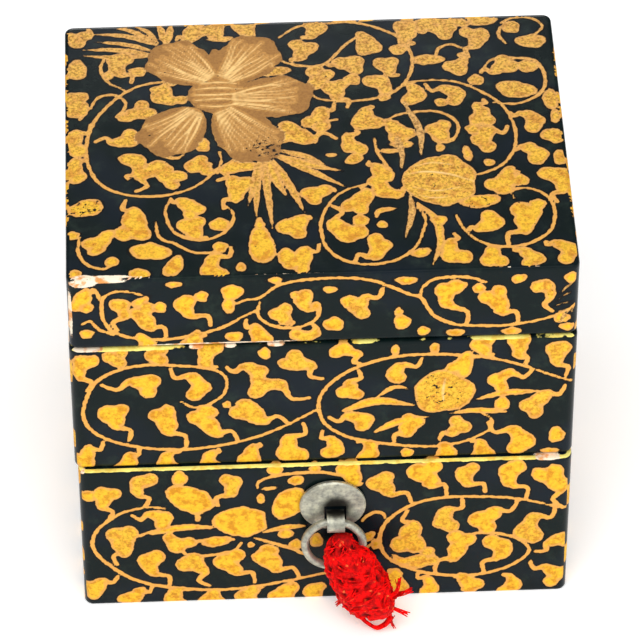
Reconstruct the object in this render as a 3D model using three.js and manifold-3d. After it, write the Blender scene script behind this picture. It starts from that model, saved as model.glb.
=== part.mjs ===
// A small lacquered stacking box: a base tray, a middle tray and a lid that stand on one another,
// with a round back plate, a drop ring and a red tassel on the front of the base.
// Millimetres, +Z up, the front looks towards -Y and +X is on the right of the front.
// The origin is at the middle of the base tray's underside.

import * as THREE from 'three';
import { mergeVertices } from 'three/addons/utils/BufferGeometryUtils.js';
import Module from 'manifold-3d';

const wasm = await Module();
wasm.setup();

// Clearance that the separate pieces keep from one another.
const gap = 0.3;

// Outer sizes of the three parts. They are made by hand, so each is a little off the next:
// shiftX and shiftY place each part's middle against the base tray's middle.
const baseTray = { width: 95.4, depth: 75.2, height: 37.2, shiftX: 0.25, shiftY: 0 };
const middleTray = { width: 96.1, depth: 73.8, height: 31.4, shiftX: 0, shiftY: 0.4 };
const lidCover = { width: 95.8, depth: 73.2, height: 17.6, shiftX: 0, shiftY: 0.6 };

// Corner rounding in plan, and the small rounding of the top and bottom edges.
const cornerRadius = 1.8;
const cornerSteps = 5;
const edgeRadius = 0.45;
const edgeSteps = 2;

// Each tray has an outer wall whose rim carries the part above, and an inner lining
// that stands up past the rim as a locating lip.
const rimWidth = 2.7;
const liningThickness = 1.4;
const lipHeight = 2.6;
const lipClearance = 0.5;
const floorThickness = 3;
const lidTopThickness = 2.8;
const trayWall = rimWidth + liningThickness;
const skirtWall = rimWidth - lipClearance;

// The round back plate and the slot in it that the eye comes out of.
const plate = { x: 1.6, z: 26.8, radius: 6.45, thickness: 0.8, bevel: 0.3, segments: 40 };
const slot = { side: 0.45, below: 1.9, above: 2.6 };

// The eye is a strap folded over the ring's wire, with two legs that go into the base tray's wall.
const eye = { x: 2.1, width: 3.4, strap: 0.6, boreRadius: 1.5, standOff: 1.65, legDepth: 2.2, segments: 20 };

// The drop ring hangs from the eye and leans forward a little, held off the box by the tassel.
const ring = { x: 1.7, radius: 5.65, wire: 0.75, lean: THREE.MathUtils.degToRad(5), aroundSteps: 40, wireSteps: 10 };

// The tassel: a fat netted head that hangs through the ring, and a frayed skirt
// that runs down and forward to the ground. Its middle line, its radius along that
// line as [share of the length, radius], and how much thinner it is from front to back.
const tassel = {
  line: new THREE.CatmullRomCurve3([
    new THREE.Vector3(3.2, -41.3, 22),
    new THREE.Vector3(4.4, -42.5, 15.3),
    new THREE.Vector3(6.7, -43.8, 9.8),
    new THREE.Vector3(9.2, -45.3, 5.4),
    new THREE.Vector3(11.3, -46.9, 0.9),
  ]),
  profile: [
    [0, 0],
    [0.01, 1.5],
    [0.06, 2.6],
    [0.16, 3.6],
    [0.32, 4.5],
    [0.5, 4.8],
    [0.66, 4.7],
    [0.8, 4.2],
    [0.9, 3.5],
    [0.98, 2.6],
    [1, 0],
  ],
  thinning: 0.84,
  aroundSteps: 20,
  ringClearance: 0.35,
};

// Heights of the two joints, and the face and pivot that the hardware is set from.
const baseRim = baseTray.height;
const middleRim = baseRim + middleTray.height;
const lidTop = middleRim + lidCover.height;
const baseFront = baseTray.shiftY - baseTray.depth / 2;
const plateBack = baseFront - gap;
const plateFront = plateBack - plate.thickness;
const pivot = new THREE.Vector3(eye.x, plateFront - eye.standOff, plate.z - 2.5);

// Outline of a rectangle with rounded corners, centred on the origin.
function roundedRectangle(width, depth, radius) {
  const shape = new THREE.Shape();
  const halfWidth = width / 2 - radius;
  const halfDepth = depth / 2 - radius;
  shape.absarc(halfWidth, halfDepth, radius, 0, Math.PI / 2);
  shape.absarc(-halfWidth, halfDepth, radius, Math.PI / 2, Math.PI);
  shape.absarc(-halfWidth, -halfDepth, radius, Math.PI, Math.PI * 1.5);
  shape.absarc(halfWidth, -halfDepth, radius, Math.PI * 1.5, Math.PI * 2);
  return shape;
}

// A closed three.js geometry as a solid that can be cut and joined.
function toSolid(geometry) {
  const bare = new THREE.BufferGeometry();
  bare.setAttribute('position', geometry.getAttribute('position'));
  bare.setIndex(geometry.getIndex());
  const merged = mergeVertices(bare, 1e-4);
  const vertProperties = new Float32Array(merged.getAttribute('position').array);
  const triVerts = new Uint32Array(merged.getIndex().array);
  return new wasm.Manifold(new wasm.Mesh({ numProp: 3, vertProperties, triVerts }));
}

// The solid back as a geometry.
function toGeometry(solid) {
  const result = solid.getMesh();
  const geometry = new THREE.BufferGeometry();
  geometry.setAttribute('position', new THREE.BufferAttribute(result.vertProperties, 3));
  geometry.setIndex(new THREE.BufferAttribute(result.triVerts, 1));
  geometry.computeVertexNormals();
  return geometry;
}

// A block with rounded corners between two heights, in the place of one part.
// inset takes it in from the part's outer faces all round.
function block(part, inset, bottom, top, rounding = 0) {
  const radius = Math.max(cornerRadius - inset, 0.4);
  const outline = roundedRectangle(part.width - 2 * inset, part.depth - 2 * inset, radius);
  const geometry = new THREE.ExtrudeGeometry(outline, {
    depth: top - bottom - 2 * rounding,
    curveSegments: cornerSteps,
    bevelEnabled: rounding > 0,
    bevelThickness: rounding,
    bevelSize: rounding,
    bevelOffset: -rounding,
    bevelSegments: edgeSteps,
  });
  geometry.translate(part.shiftX, part.shiftY, bottom + rounding);
  return toSolid(geometry);
}

// A plain box from one corner to the other.
function boxBetween(low, high) {
  const size = new THREE.Vector3().subVectors(high, low);
  const geometry = new THREE.BoxGeometry(size.x, size.y, size.z);
  geometry.translate((low.x + high.x) / 2, (low.y + high.y) / 2, (low.z + high.z) / 2);
  return toSolid(geometry);
}

// An open tray: the outer block and its lip, less the inside and, on an upper tray,
// the hollow under its floor that goes over the lip below. The lip and the inside
// are laid out from the part above, so that it drops over the lip evenly.
function trayBody(part, above, bottom, rim, seatDepth) {
  const outer = block(part, 0, bottom, rim, edgeRadius);
  const lip = block(above, rimWidth, rim - 2 * edgeRadius, rim + lipHeight);
  const inside = block(above, trayWall, bottom + seatDepth + floorThickness, rim + lipHeight + 1);
  let tray = outer.add(lip).subtract(inside);
  if (seatDepth > 0) {
    tray = tray.subtract(block(part, skirtWall, bottom - 1, bottom + seatDepth));
  }
  return tray;
}

// The base tray, with the narrow pocket in its front wall that takes the eye's legs.
function baseTier() {
  const pocket = boxBetween(
    new THREE.Vector3(eye.x - eye.width / 2 - gap, baseFront - 1, pivot.z - legReach() - gap),
    new THREE.Vector3(eye.x + eye.width / 2 + gap, baseFront + eye.legDepth + gap, pivot.z + legReach() + gap),
  );
  return toGeometry(trayBody(baseTray, middleTray, 0, baseRim, 0).subtract(pocket));
}

function middleTier() {
  const seatDepth = lipHeight + gap;
  return toGeometry(trayBody(middleTray, lidCover, baseRim + gap, middleRim, seatDepth));
}

// The lid is a shallow cover, hollow right up to its top board.
function lid() {
  const bottom = middleRim + gap;
  const outer = block(lidCover, 0, bottom, lidTop, edgeRadius);
  const inside = block(lidCover, skirtWall, bottom - 1, lidTop - lidTopThickness);
  return toGeometry(outer.subtract(inside));
}

// A round plate with a softened front edge, turned to face forward.
function backPlate() {
  const { radius, thickness, bevel, segments } = plate;
  const profile = [
    new THREE.Vector2(0, 0),
    new THREE.Vector2(radius, 0),
    new THREE.Vector2(radius, thickness - bevel),
    new THREE.Vector2(radius - bevel, thickness),
    new THREE.Vector2(0, thickness),
  ];
  const disc = new THREE.LatheGeometry(profile, segments);
  disc.rotateX(Math.PI);
  disc.translate(plate.x, plateBack, plate.z);
  const opening = boxBetween(
    new THREE.Vector3(eye.x - eye.width / 2 - slot.side, plateFront - 1, pivot.z - slot.below),
    new THREE.Vector3(eye.x + eye.width / 2 + slot.side, plateBack + 1, pivot.z + slot.above),
  );
  return toGeometry(toSolid(disc).subtract(opening));
}

// Half the height of the two legs of the strap where they lie side by side.
function legReach() {
  return eye.strap;
}

// The strap seen from its side: a loop round the pivot that narrows to two legs laid together.
function ringEye() {
  const outerRadius = eye.boreRadius + eye.strap;
  const legEnd = baseFront + eye.legDepth;
  const neck = Math.asin(legReach() / outerRadius);
  const profile = new THREE.Shape();
  profile.absarc(0, 0, outerRadius, neck, Math.PI * 2 - neck);
  profile.lineTo(legEnd - pivot.y, -legReach());
  profile.lineTo(legEnd - pivot.y, legReach());
  profile.closePath();
  const bore = new THREE.Path();
  bore.absarc(0, 0, eye.boreRadius, 0, Math.PI * 2, true);
  profile.holes.push(bore);
  const geometry = new THREE.ExtrudeGeometry(profile, {
    depth: eye.width,
    curveSegments: eye.segments,
    bevelEnabled: false,
  });
  // The profile's x runs back along +Y and its y runs up along +Z.
  const turn = new THREE.Matrix4().makeBasis(
    new THREE.Vector3(0, 1, 0),
    new THREE.Vector3(0, 0, 1),
    new THREE.Vector3(1, 0, 0),
  );
  geometry.applyMatrix4(turn);
  geometry.translate(eye.x - eye.width / 2, pivot.y, pivot.z);
  return geometry;
}

// The ring hangs below the eye, with its top wire through the eye's bore.
function ringGeometry(wireRadius) {
  const geometry = new THREE.TorusGeometry(ring.radius, wireRadius, ring.wireSteps, ring.aroundSteps);
  geometry.rotateX(Math.PI / 2);
  geometry.translate(0, 0, -ring.radius);
  geometry.rotateX(-ring.lean);
  geometry.translate(ring.x, pivot.y, pivot.z);
  return geometry;
}

// A turned form laid along the tassel's middle line: each point of the profile's circle
// moves to the same place round the line.
function tasselForm() {
  const points = tassel.profile.map(([along, radius]) => new THREE.Vector2(radius, along));
  const geometry = new THREE.LatheGeometry(points, tassel.aroundSteps);
  const position = geometry.getAttribute('position');
  for (let i = 0; i < position.count; i += 1) {
    const along = position.getY(i);
    const tangent = tassel.line.getTangentAt(along);
    const side = new THREE.Vector3(1, 0, 0).addScaledVector(tangent, -tangent.x).normalize();
    const front = new THREE.Vector3().crossVectors(side, tangent);
    const place = tassel.line.getPointAt(along);
    place.addScaledVector(side, position.getX(i));
    place.addScaledVector(front, position.getZ(i) * tassel.thinning);
    position.setXYZ(i, place.x, place.y, place.z);
  }
  return toSolid(geometry);
}

// The tassel with the way through its head for the ring, clear of the ground and of the box.
function tasselGeometry() {
  const wayForRing = toSolid(ringGeometry(ring.wire + tassel.ringClearance));
  const space = boxBetween(new THREE.Vector3(-50, -80, gap), new THREE.Vector3(50, baseFront - gap, 60));
  return toGeometry(tasselForm().subtract(wayForRing).intersect(space));
}

// Finishes, from the outside: black lacquer, old grey metal and red thread.
const lacquer = new THREE.MeshStandardMaterial({ color: '#16262b', roughness: 0.28, metalness: 0 });
const pewter = new THREE.MeshStandardMaterial({ color: '#8e8c82', roughness: 0.45, metalness: 0.85 });
const thread = new THREE.MeshStandardMaterial({ color: '#d8101a', roughness: 0.85, metalness: 0 });

const stackingBox = new THREE.Group();

function addPiece(name, geometry, material) {
  const piece = new THREE.Mesh(geometry, material);
  piece.name = name;
  stackingBox.add(piece);
}

addPiece('base_tier', baseTier(), lacquer);
addPiece('middle_tier', middleTier(), lacquer);
addPiece('lid', lid(), lacquer);
addPiece('ring_back_plate', backPlate(), pewter);
addPiece('ring_eye', ringEye(), pewter);
addPiece('pull_ring', ringGeometry(ring.wire), pewter);
addPiece('tassel', tasselGeometry(), thread);

export default stackingBox;
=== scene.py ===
"""Looks of a small black lacquer stacking box with painted gold vines, a pewter ring pull and a red tassel.

The classes hold millimetres. Meshes are turned to metres where they are made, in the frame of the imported
model: +Z is up, the front with the ring pull looks towards -Y, and +X is on the right of the front.
"""
from __future__ import annotations

import logging
import math
import random
from dataclasses import dataclass
from enum import Enum

import bmesh
import bpy
import numpy as np
from mathutils import Matrix, Vector

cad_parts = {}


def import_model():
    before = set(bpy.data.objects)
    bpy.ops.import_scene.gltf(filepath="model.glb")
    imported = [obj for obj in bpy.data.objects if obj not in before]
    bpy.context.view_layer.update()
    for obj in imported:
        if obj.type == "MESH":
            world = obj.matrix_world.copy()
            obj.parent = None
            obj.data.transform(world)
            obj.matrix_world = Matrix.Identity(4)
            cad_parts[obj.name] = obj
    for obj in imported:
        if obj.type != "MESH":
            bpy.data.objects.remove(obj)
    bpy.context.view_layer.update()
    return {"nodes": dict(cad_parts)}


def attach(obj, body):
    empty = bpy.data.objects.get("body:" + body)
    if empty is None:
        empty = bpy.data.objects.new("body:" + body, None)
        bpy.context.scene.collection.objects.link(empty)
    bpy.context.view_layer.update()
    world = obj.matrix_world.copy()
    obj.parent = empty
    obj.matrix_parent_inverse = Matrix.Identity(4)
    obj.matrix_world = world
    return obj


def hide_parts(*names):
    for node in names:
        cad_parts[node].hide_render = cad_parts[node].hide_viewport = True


MM = 0.001
LOG = logging.getLogger("lacquer_box")


class Face(Enum):
    """The painted faces of a tier, each seen from its own outside."""

    FRONT = "front"
    RIGHT = "right"
    BACK = "back"
    LEFT = "left"
    TOP = "top"


class Layer(Enum):
    """What the painter and the years left on the lacquer, with one painted highlight, as a number at each
    mesh point.
    """

    GOLD = "gold"
    TONE = "tone"
    VEIN = "vein"
    GILT = "gilt"
    RUB = "rub"
    CHIP = "chip"


def linear(code: str) -> tuple[float, float, float, float]:
    """Turns an sRGB colour into the linear one that Blender's sockets take.

    Args:
        code: the colour as '#rrggbb'.

    Returns:
        Red, green, blue and an alpha of one.
    """
    shares = [int(code[i : i + 2], 16) / 255 for i in (1, 3, 5)]
    return (*[s / 12.92 if s <= 0.04045 else ((s + 0.055) / 1.055) ** 2.4 for s in shares], 1.0)


def add_node(
    tree: bpy.types.NodeTree, kind: str, inputs: dict | None = None, **settings: object
) -> bpy.types.Node:
    """Adds one shader node with its settings and its links.

    Args:
        tree: the material's or world's node tree.
        kind: the node's type, without the word ShaderNode in front.
        inputs: a value or a socket to link, for each input by name or number.
        settings: the node's own properties.

    Returns:
        The node.
    """
    node = tree.nodes.new("ShaderNode" + kind)
    for name, value in settings.items():
        setattr(node, name, value)
    for key, value in (inputs or {}).items():
        if isinstance(value, bpy.types.NodeSocket):
            tree.links.new(value, node.inputs[key])
        else:
            node.inputs[key].default_value = value
    return node


def new_material(name: str) -> tuple[bpy.types.Material, bpy.types.NodeTree]:
    """Makes an empty node material.

    Args:
        name: the material's name.

    Returns:
        The material and its node tree.
    """
    material = bpy.data.materials.new(name)
    material.use_nodes = True
    material.node_tree.nodes.clear()
    return material, material.node_tree


def smooth_line(points: list[tuple[float, ...]], step: float) -> np.ndarray:
    """Draws a smooth line through points, as a brush does.

    Args:
        points: the points it goes through, in two or three dimensions.
        step: the distance between two points of the result.

    Returns:
        The line's points, one row each.
    """
    p = np.asarray(points, float)
    ends = np.vstack([2 * p[0] - p[1], p, 2 * p[-1] - p[-2]])
    out = []
    for a, b, c, d in zip(ends, ends[1:], ends[2:], ends[3:]):
        count = max(2, int(np.linalg.norm(c - b) / step))
        t = np.linspace(0, 1, count, endpoint=False)[:, None]
        bend, twist = 2 * a - 5 * b + 4 * c - d, 3 * b - a - 3 * c + d
        out.append(0.5 * (2 * b + (c - a) * t + bend * t**2 + twist * t**3))
    return np.vstack([*out, p[-1:]])


def turned(x: np.ndarray, y: np.ndarray, angle: float) -> tuple[np.ndarray, np.ndarray]:
    """Turns distances into the directions of a shape that is turned by an angle.

    Args:
        x: the distances across.
        y: the distances up.
        angle: the shape's angle.

    Returns:
        The distances along the shape and across it.
    """
    c, s = math.cos(angle), math.sin(angle)
    return x * c + y * s, y * c - x * s


def pairs(numbers: tuple[float, ...]) -> list[tuple[float, float]]:
    """Reads a flat row of numbers as points.

    Args:
        numbers: x and y in turn.

    Returns:
        The points.
    """
    return list(zip(numbers[::2], numbers[1::2]))


def curl(
    cx: float, cy: float, rx: float, ry: float, start: float, sweep: float, shrink: float, steps: int = 16
) -> tuple[float, ...]:
    """Lays out one scrolling stem, an oval that winds inwards.

    Args:
        cx: the oval's centre.
        cy: the oval's centre.
        rx: half its width where it starts.
        ry: half its height where it starts.
        start: the angle that it starts at, in degrees.
        sweep: how far it turns, in degrees.
        shrink: its size at the inner end, as a share of the first.
        steps: how many steps it is drawn in.

    Returns:
        The stem's points as a flat row.
    """
    out: list[float] = []
    for k in range(steps + 1):
        share = k / steps
        angle = math.radians(start + sweep * share)
        size = 1 + (shrink - 1) * share**1.6
        out += [cx + rx * size * math.cos(angle), cy + ry * size * math.sin(angle)]
    return tuple(out)


@dataclass(frozen=True)
class Scrollwork:
    """One face's painted vines in mm, in the order that a lacquer painter lays them.

    x runs to the right on the face as one looks at it. y runs up it, from the box's own ground on an upright
    face and from the box's middle on the top.
    """

    stems: tuple = ()
    leaves: tuple = ()
    spots: tuple = ()
    blades: tuple = ()
    petals: tuple = ()
    veins: tuple = ()
    leaf_size: float = 1.0
    stem_width: float = 0.85


class PaintSheet:
    """Gold paint on one face, kept on a fine lattice as each point's distance from its edge in mm."""

    PITCH = 0.1
    # How far from the paint its distance is kept, how far a tint reaches past it, and the brush's step.
    FAR = 1.2
    TINTED = -0.3
    STEP = 0.22
    # A usual leaf's length, how far its lobes reach, how far they run together, and where its tail starts.
    LEAF_LENGTH = 6.6
    LEAF_REACH = 4.8
    BLEND = 1.0
    TAIL_FROM = 3.2
    # A leaf's lobes, the thumb first: along the leaf, across it, and their half sizes.
    LEAF_SHAPES = (
        ((-1.3, 1.6, 1.8, 1.7), (-0.9, -0.6, 2.2, 2.0), (1.5, -1.3, 2.0, 1.5)),
        ((-1.7, 1.8, 1.9, 1.5), (-2.1, -0.9, 1.9, 1.7), (0.6, -0.2, 2.3, 2.0), (2.5, -1.0, 1.6, 1.2)),
        ((-1.0, 1.4, 1.7, 1.7), (-0.9, -1.2, 2.1, 1.9), (1.2, -0.6, 2.1, 1.6)),
    )

    def __init__(self, low: tuple[float, float], high: tuple[float, float], seed: int) -> None:
        """Starts with a bare face.

        Args:
            low: the face's lower left corner.
            high: the face's upper right corner.
            seed: the start of this face's random draws.
        """
        self.low = low
        self.rng = random.Random(seed)
        self.x = np.arange(low[0], high[0] + self.PITCH, self.PITCH)
        self.y = np.arange(low[1], high[1] + self.PITCH, self.PITCH)
        shape = (len(self.y), len(self.x))
        self.layers = {
            Layer.GOLD: np.full(shape, -self.FAR),
            Layer.TONE: np.zeros(shape),
            Layer.VEIN: np.full(shape, -self.FAR),
        }

    def near(self, x: float, y: float, reach: float) -> tuple[tuple[slice, slice], np.ndarray, np.ndarray]:
        """Finds the lattice points round one point.

        Args:
            x: the point.
            y: the point.
            reach: how far round it.

        Returns:
            Where they are in the layers, and their distances across and up from the point.
        """
        i0, i1 = (int(np.clip((x + s * reach - self.low[0]) / self.PITCH, 0, len(self.x))) for s in (-1, 1))
        j0, j1 = (int(np.clip((y + s * reach - self.low[1]) / self.PITCH, 0, len(self.y))) for s in (-1, 1))
        return (slice(j0, j1), slice(i0, i1)), self.x[None, i0:i1] - x, self.y[j0:j1, None] - y

    def lay(self, layer: Layer, where: tuple[slice, slice], value: np.ndarray, tone: float = 0.0) -> None:
        """Lays a shape over what is there already, in one layer, and its tone with it.

        Args:
            layer: the layer.
            where: the shape's place in the layers.
            value: how far inside the shape each point is, in mm.
            tone: how brown the paint is, from 0 to 1.
        """
        part = self.layers[layer][where]
        np.maximum(part, value, out=part)
        if tone:
            part = self.layers[Layer.TONE][where]
            np.maximum(part, tone * (value > self.TINTED), out=part)

    def stroke(
        self, points: list, widths: tuple[float, ...], layer: Layer = Layer.GOLD, tone: float = 0.0
    ) -> None:
        """Draws one brush stroke.

        Args:
            points: the points it goes through.
            widths: its width at even steps along it.
            layer: the layer it is drawn in.
            tone: how brown the paint is, from 0 to 1.
        """
        line = smooth_line(points, self.STEP)
        halves = np.interp(np.linspace(0, 1, len(line)), np.linspace(0, 1, len(widths)), widths) / 2
        for (x, y), half in zip(line, halves):
            where, dx, dy = self.near(x, y, half + self.FAR)
            self.lay(layer, where, half - np.hypot(dx, dy), tone)

    def oval(self, x: float, y: float, rx: float, ry: float, turn: float = 0.0, tone: float = 0.0) -> None:
        """Paints one oval dab with a slightly uneven edge.

        Args:
            x: its centre.
            y: its centre.
            rx: half its length.
            ry: half its width.
            turn: the length's angle in degrees.
            tone: how brown the paint is, from 0 to 1.
        """
        where, dx, dy = self.near(x, y, max(rx, ry) + self.FAR)
        a, b = turned(dx, dy, math.radians(turn))
        around = np.arctan2(b, a)
        uneven = 1 + 0.06 * np.sin(3 * around + self.rng.uniform(0, 6)) + 0.04 * np.sin(5 * around)
        self.lay(Layer.GOLD, where, (uneven - np.hypot(a / rx, b / ry)) * min(rx, ry), tone)

    def leaf(self, head: tuple[float, float], tail: tuple[float, float], size: float) -> None:
        """Paints one comma-shaped vine leaf: lobes run together and a curved tail to the stem.

        Args:
            head: the middle of its lobes.
            tail: where its tail meets the stem.
            size: its size, where 1 is about 6 mm across.
        """
        rng = self.rng
        along = Vector(tail) - Vector(head)
        length = max(along.length, 0.1)
        usual = 1 if along.x * along.y <= 0 else -1
        along /= length
        across = Vector((-along.y, along.x)) * (usual if rng.random() < 0.9 else -usual)
        size *= min(1.08, max(0.86, length / self.LEAF_LENGTH)) * rng.uniform(0.94, 1.08)
        lobes = rng.choice(self.LEAF_SHAPES)
        where, dx, dy = self.near(*head, self.LEAF_REACH * size + self.FAR)
        whole = np.full(np.broadcast_shapes(dx.shape, dy.shape), -9.0)
        for a, b, ra, rb in lobes:
            a, b = (v * size + rng.uniform(-0.3, 0.3) for v in (a, b))
            ra, rb = (v * size * rng.uniform(0.88, 1.1) for v in (ra, rb))
            x, y = dx - along.x * a - across.x * b, dy - along.y * a - across.y * b
            p, q = x * along.x + y * along.y, x * across.x + y * across.y
            p, q = turned(p, q, rng.uniform(-0.5, 0.5))
            dab = (1 - np.hypot(p / ra, q / rb)) * min(ra, rb)
            blend = np.maximum(self.BLEND - np.abs(whole - dab), 0) / self.BLEND
            whole = np.maximum(whole, dab) + blend**2 * self.BLEND / 4
        self.lay(Layer.GOLD, where, whole, rng.uniform(0, 0.2))
        if length > self.TAIL_FROM * size:
            # The tail leaves the lobes on one side, swings over to the other and runs thin into the stem.
            hook = min(1.1, 0.22 * (length - self.TAIL_FROM * size) + 0.2)
            waist = max(3.7 * size, 0.62 * length)
            spine = ((2.0 * size, -1.2 * size), (3.1 * size, -0.9 * size), (waist, hook),
                     (0.5 * (waist + length), 0.8 * hook), (length, 0.0))
            line = [(head[0] + along.x * a + across.x * b, head[1] + along.y * a + across.y * b)
                    for a, b in spine]
            self.stroke(line, (2.2 * size, 1.35, 1.0, 0.92, 0.8))

    def petal(
        self, x: float, y: float, long: float, wide: float, turn: float, tone: float, veins: int
    ) -> None:
        """Paints one broad petal that opens outwards, with fine pale veins.

        Args:
            x: its centre.
            y: its centre.
            long: half its length.
            wide: half its width.
            turn: the angle it points in, in degrees.
            tone: how brown the paint is, from 0 to 1.
            veins: how many veins it has.
        """
        where, dx, dy = self.near(x, y, long + 2)
        a, b = turned(dx, dy, math.radians(turn))
        around = np.arctan2(b, a)
        half = wide * (1 + 0.17 * np.clip(a / long, -1, 1))
        ruffle = 1 + 0.045 * np.cos(7 * around + x) * (np.cos(around) > 0)
        self.lay(Layer.GOLD, where, (ruffle - np.hypot(a / long, b / half)) * wide, tone)
        for k in range(veins):
            spread = (k + self.rng.uniform(-0.25, 0.25) - (veins - 1) / 2) / max(1, (veins - 1) / 2)
            sway = self.rng.uniform(-0.35, 0.35)
            spine = [(-0.9 * long, 0.28 * spread * wide), (-0.3 * long, 0.55 * spread * wide + sway),
                     (0.3 * long, 0.8 * spread * wide - sway),
                     ((self.rng.uniform(0.4, 0.9) - 0.3 * spread**2) * long, 0.88 * spread * wide)]
            line = [(x + dx, y + dy) for dx, dy in (turned(p, q, -math.radians(turn)) for p, q in spine)]
            broad = self.rng.uniform(0.18, 0.42)
            self.stroke(line, (0.8 * broad, broad, 0.7 * broad, 0.1), Layer.VEIN)

    def paint(self, work: Scrollwork) -> None:
        """Paints all of one face's scrollwork.

        Args:
            work: what the face carries.
        """
        for stem in work.stems:
            width = work.stem_width
            self.stroke(pairs(stem), (0.75 * width, width, 1.05 * width, width, 0.8 * width))
        for hx, hy, tx, ty in work.leaves:
            self.leaf((hx, hy), (tx, ty), work.leaf_size)
        for spot in work.spots:
            self.oval(*spot)
        for width, tone, *line in work.blades:
            self.stroke(pairs(tuple(line)), (0.35 * width, width, 0.85 * width, 0.2), tone=tone)
        for petal in work.petals:
            self.petal(*petal)
        for width, *line in work.veins:
            self.stroke(pairs(tuple(line)), (0.5 * width, width, 0.5 * width), Layer.VEIN)

    def read(self, layer: Layer, x: np.ndarray, y: np.ndarray) -> np.ndarray:
        """Reads a layer at any points of the face.

        Args:
            layer: the layer.
            x: the points.
            y: the points.

        Returns:
            The layer's value at each point.
        """
        grid = self.layers[layer]
        fx = np.clip((x - self.low[0]) / self.PITCH, 0, len(self.x) - 1.001)
        fy = np.clip((y - self.low[1]) / self.PITCH, 0, len(self.y) - 1.001)
        i, j = fx.astype(int), fy.astype(int)
        sx, sy = fx - i, fy - j
        lower = grid[j, i] * (1 - sx) + grid[j, i + 1] * sx
        upper = grid[j + 1, i] * (1 - sx) + grid[j + 1, i + 1] * sx
        return lower * (1 - sy) + upper * sy


@dataclass(frozen=True)
class Wandering:
    """A plainer face: a few curling stems, with leaves set out along them and in rows between them."""

    half_width: float
    low: float
    high: float
    curls: tuple
    leaf_size: float
    # The rows' and columns' pitch, the reach of a tail, the room between leaves and that beside a stem.
    row: float = 5.6
    column: float = 6.2
    tail: float = 8.0
    room: float = 5.2
    clear: float = 2.5

    def beside(self, line: np.ndarray, rng: random.Random) -> list[tuple[float, float, float, float]]:
        """Sets leaves out on both sides of a stem.

        Args:
            line: the stem's points.
            rng: the face's random draws.

        Returns:
            Each leaf's head and the end of its tail.
        """
        out = []
        for k in range(6, len(line) - 4, 7):
            ahead = line[k + 2] - line[k - 2]
            ahead /= max(np.hypot(*ahead), 0.01)
            for side in (-1, 1):
                root = line[k + 2 * side]
                outwards = side * rng.uniform(4.4, 5.2) * np.array((-ahead[1], ahead[0]))
                x, y = root + outwards - rng.uniform(2, 3.2) * ahead
                out.append((float(x), float(y), float(root[0]), float(root[1])))
        return out

    def between(self, every: np.ndarray, rng: random.Random) -> list[tuple[float, float, float, float]]:
        """Sets leaves out in staggered rows over the whole face.

        Args:
            every: all the stems' points.
            rng: the face's random draws.

        Returns:
            Each leaf's head and the end of its tail.
        """
        out = []
        for row in range(int((self.high - self.low) / self.row) + 1):
            for column in range(int(2 * self.half_width / self.column) + 1):
                x = -self.half_width + 3.0 + self.column * column + 3.0 * (row % 2) + rng.uniform(-0.8, 0.8)
                y = self.low + 2.4 + self.row * row + rng.uniform(-0.7, 0.7)
                gaps = np.hypot(every[:, 0] - x, every[:, 1] - y)
                if gaps.min() < self.tail:
                    end = every[int(gaps.argmin())]
                else:
                    end = (x + rng.uniform(-2, 2), y + rng.choice((-5.5, 5.5)))
                out.append((x, y, float(end[0]), float(end[1])))
        return out

    def layout(self, seed: int) -> Scrollwork:
        """Lays the face out and keeps the leaves that have room.

        Args:
            seed: the start of its random draws.

        Returns:
            The face's scrollwork.
        """
        rng = random.Random(seed)
        stems = tuple(curl(*c) for c in self.curls)
        lines = [smooth_line(pairs(stem), 0.5) for stem in stems]
        every = np.vstack(lines)
        leaves = [leaf for line in lines for leaf in self.beside(line, rng)] + self.between(every, rng)
        kept: list[tuple[float, float, float, float]] = []
        for leaf in leaves:
            x, y = leaf[:2]
            free = all(math.hypot(x - a, y - b) > self.room * self.leaf_size for a, b, *_ in kept)
            gap = np.hypot(every[:, 0] - x, every[:, 1] - y).min()
            inside = abs(x) < self.half_width + 0.8 and self.low - 0.8 < y < self.high + 0.8
            if free and inside and gap > self.clear * self.leaf_size + 0.2:
                kept.append(leaf)
        return Scrollwork(stems=stems, leaves=tuple(kept), leaf_size=self.leaf_size)


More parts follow.
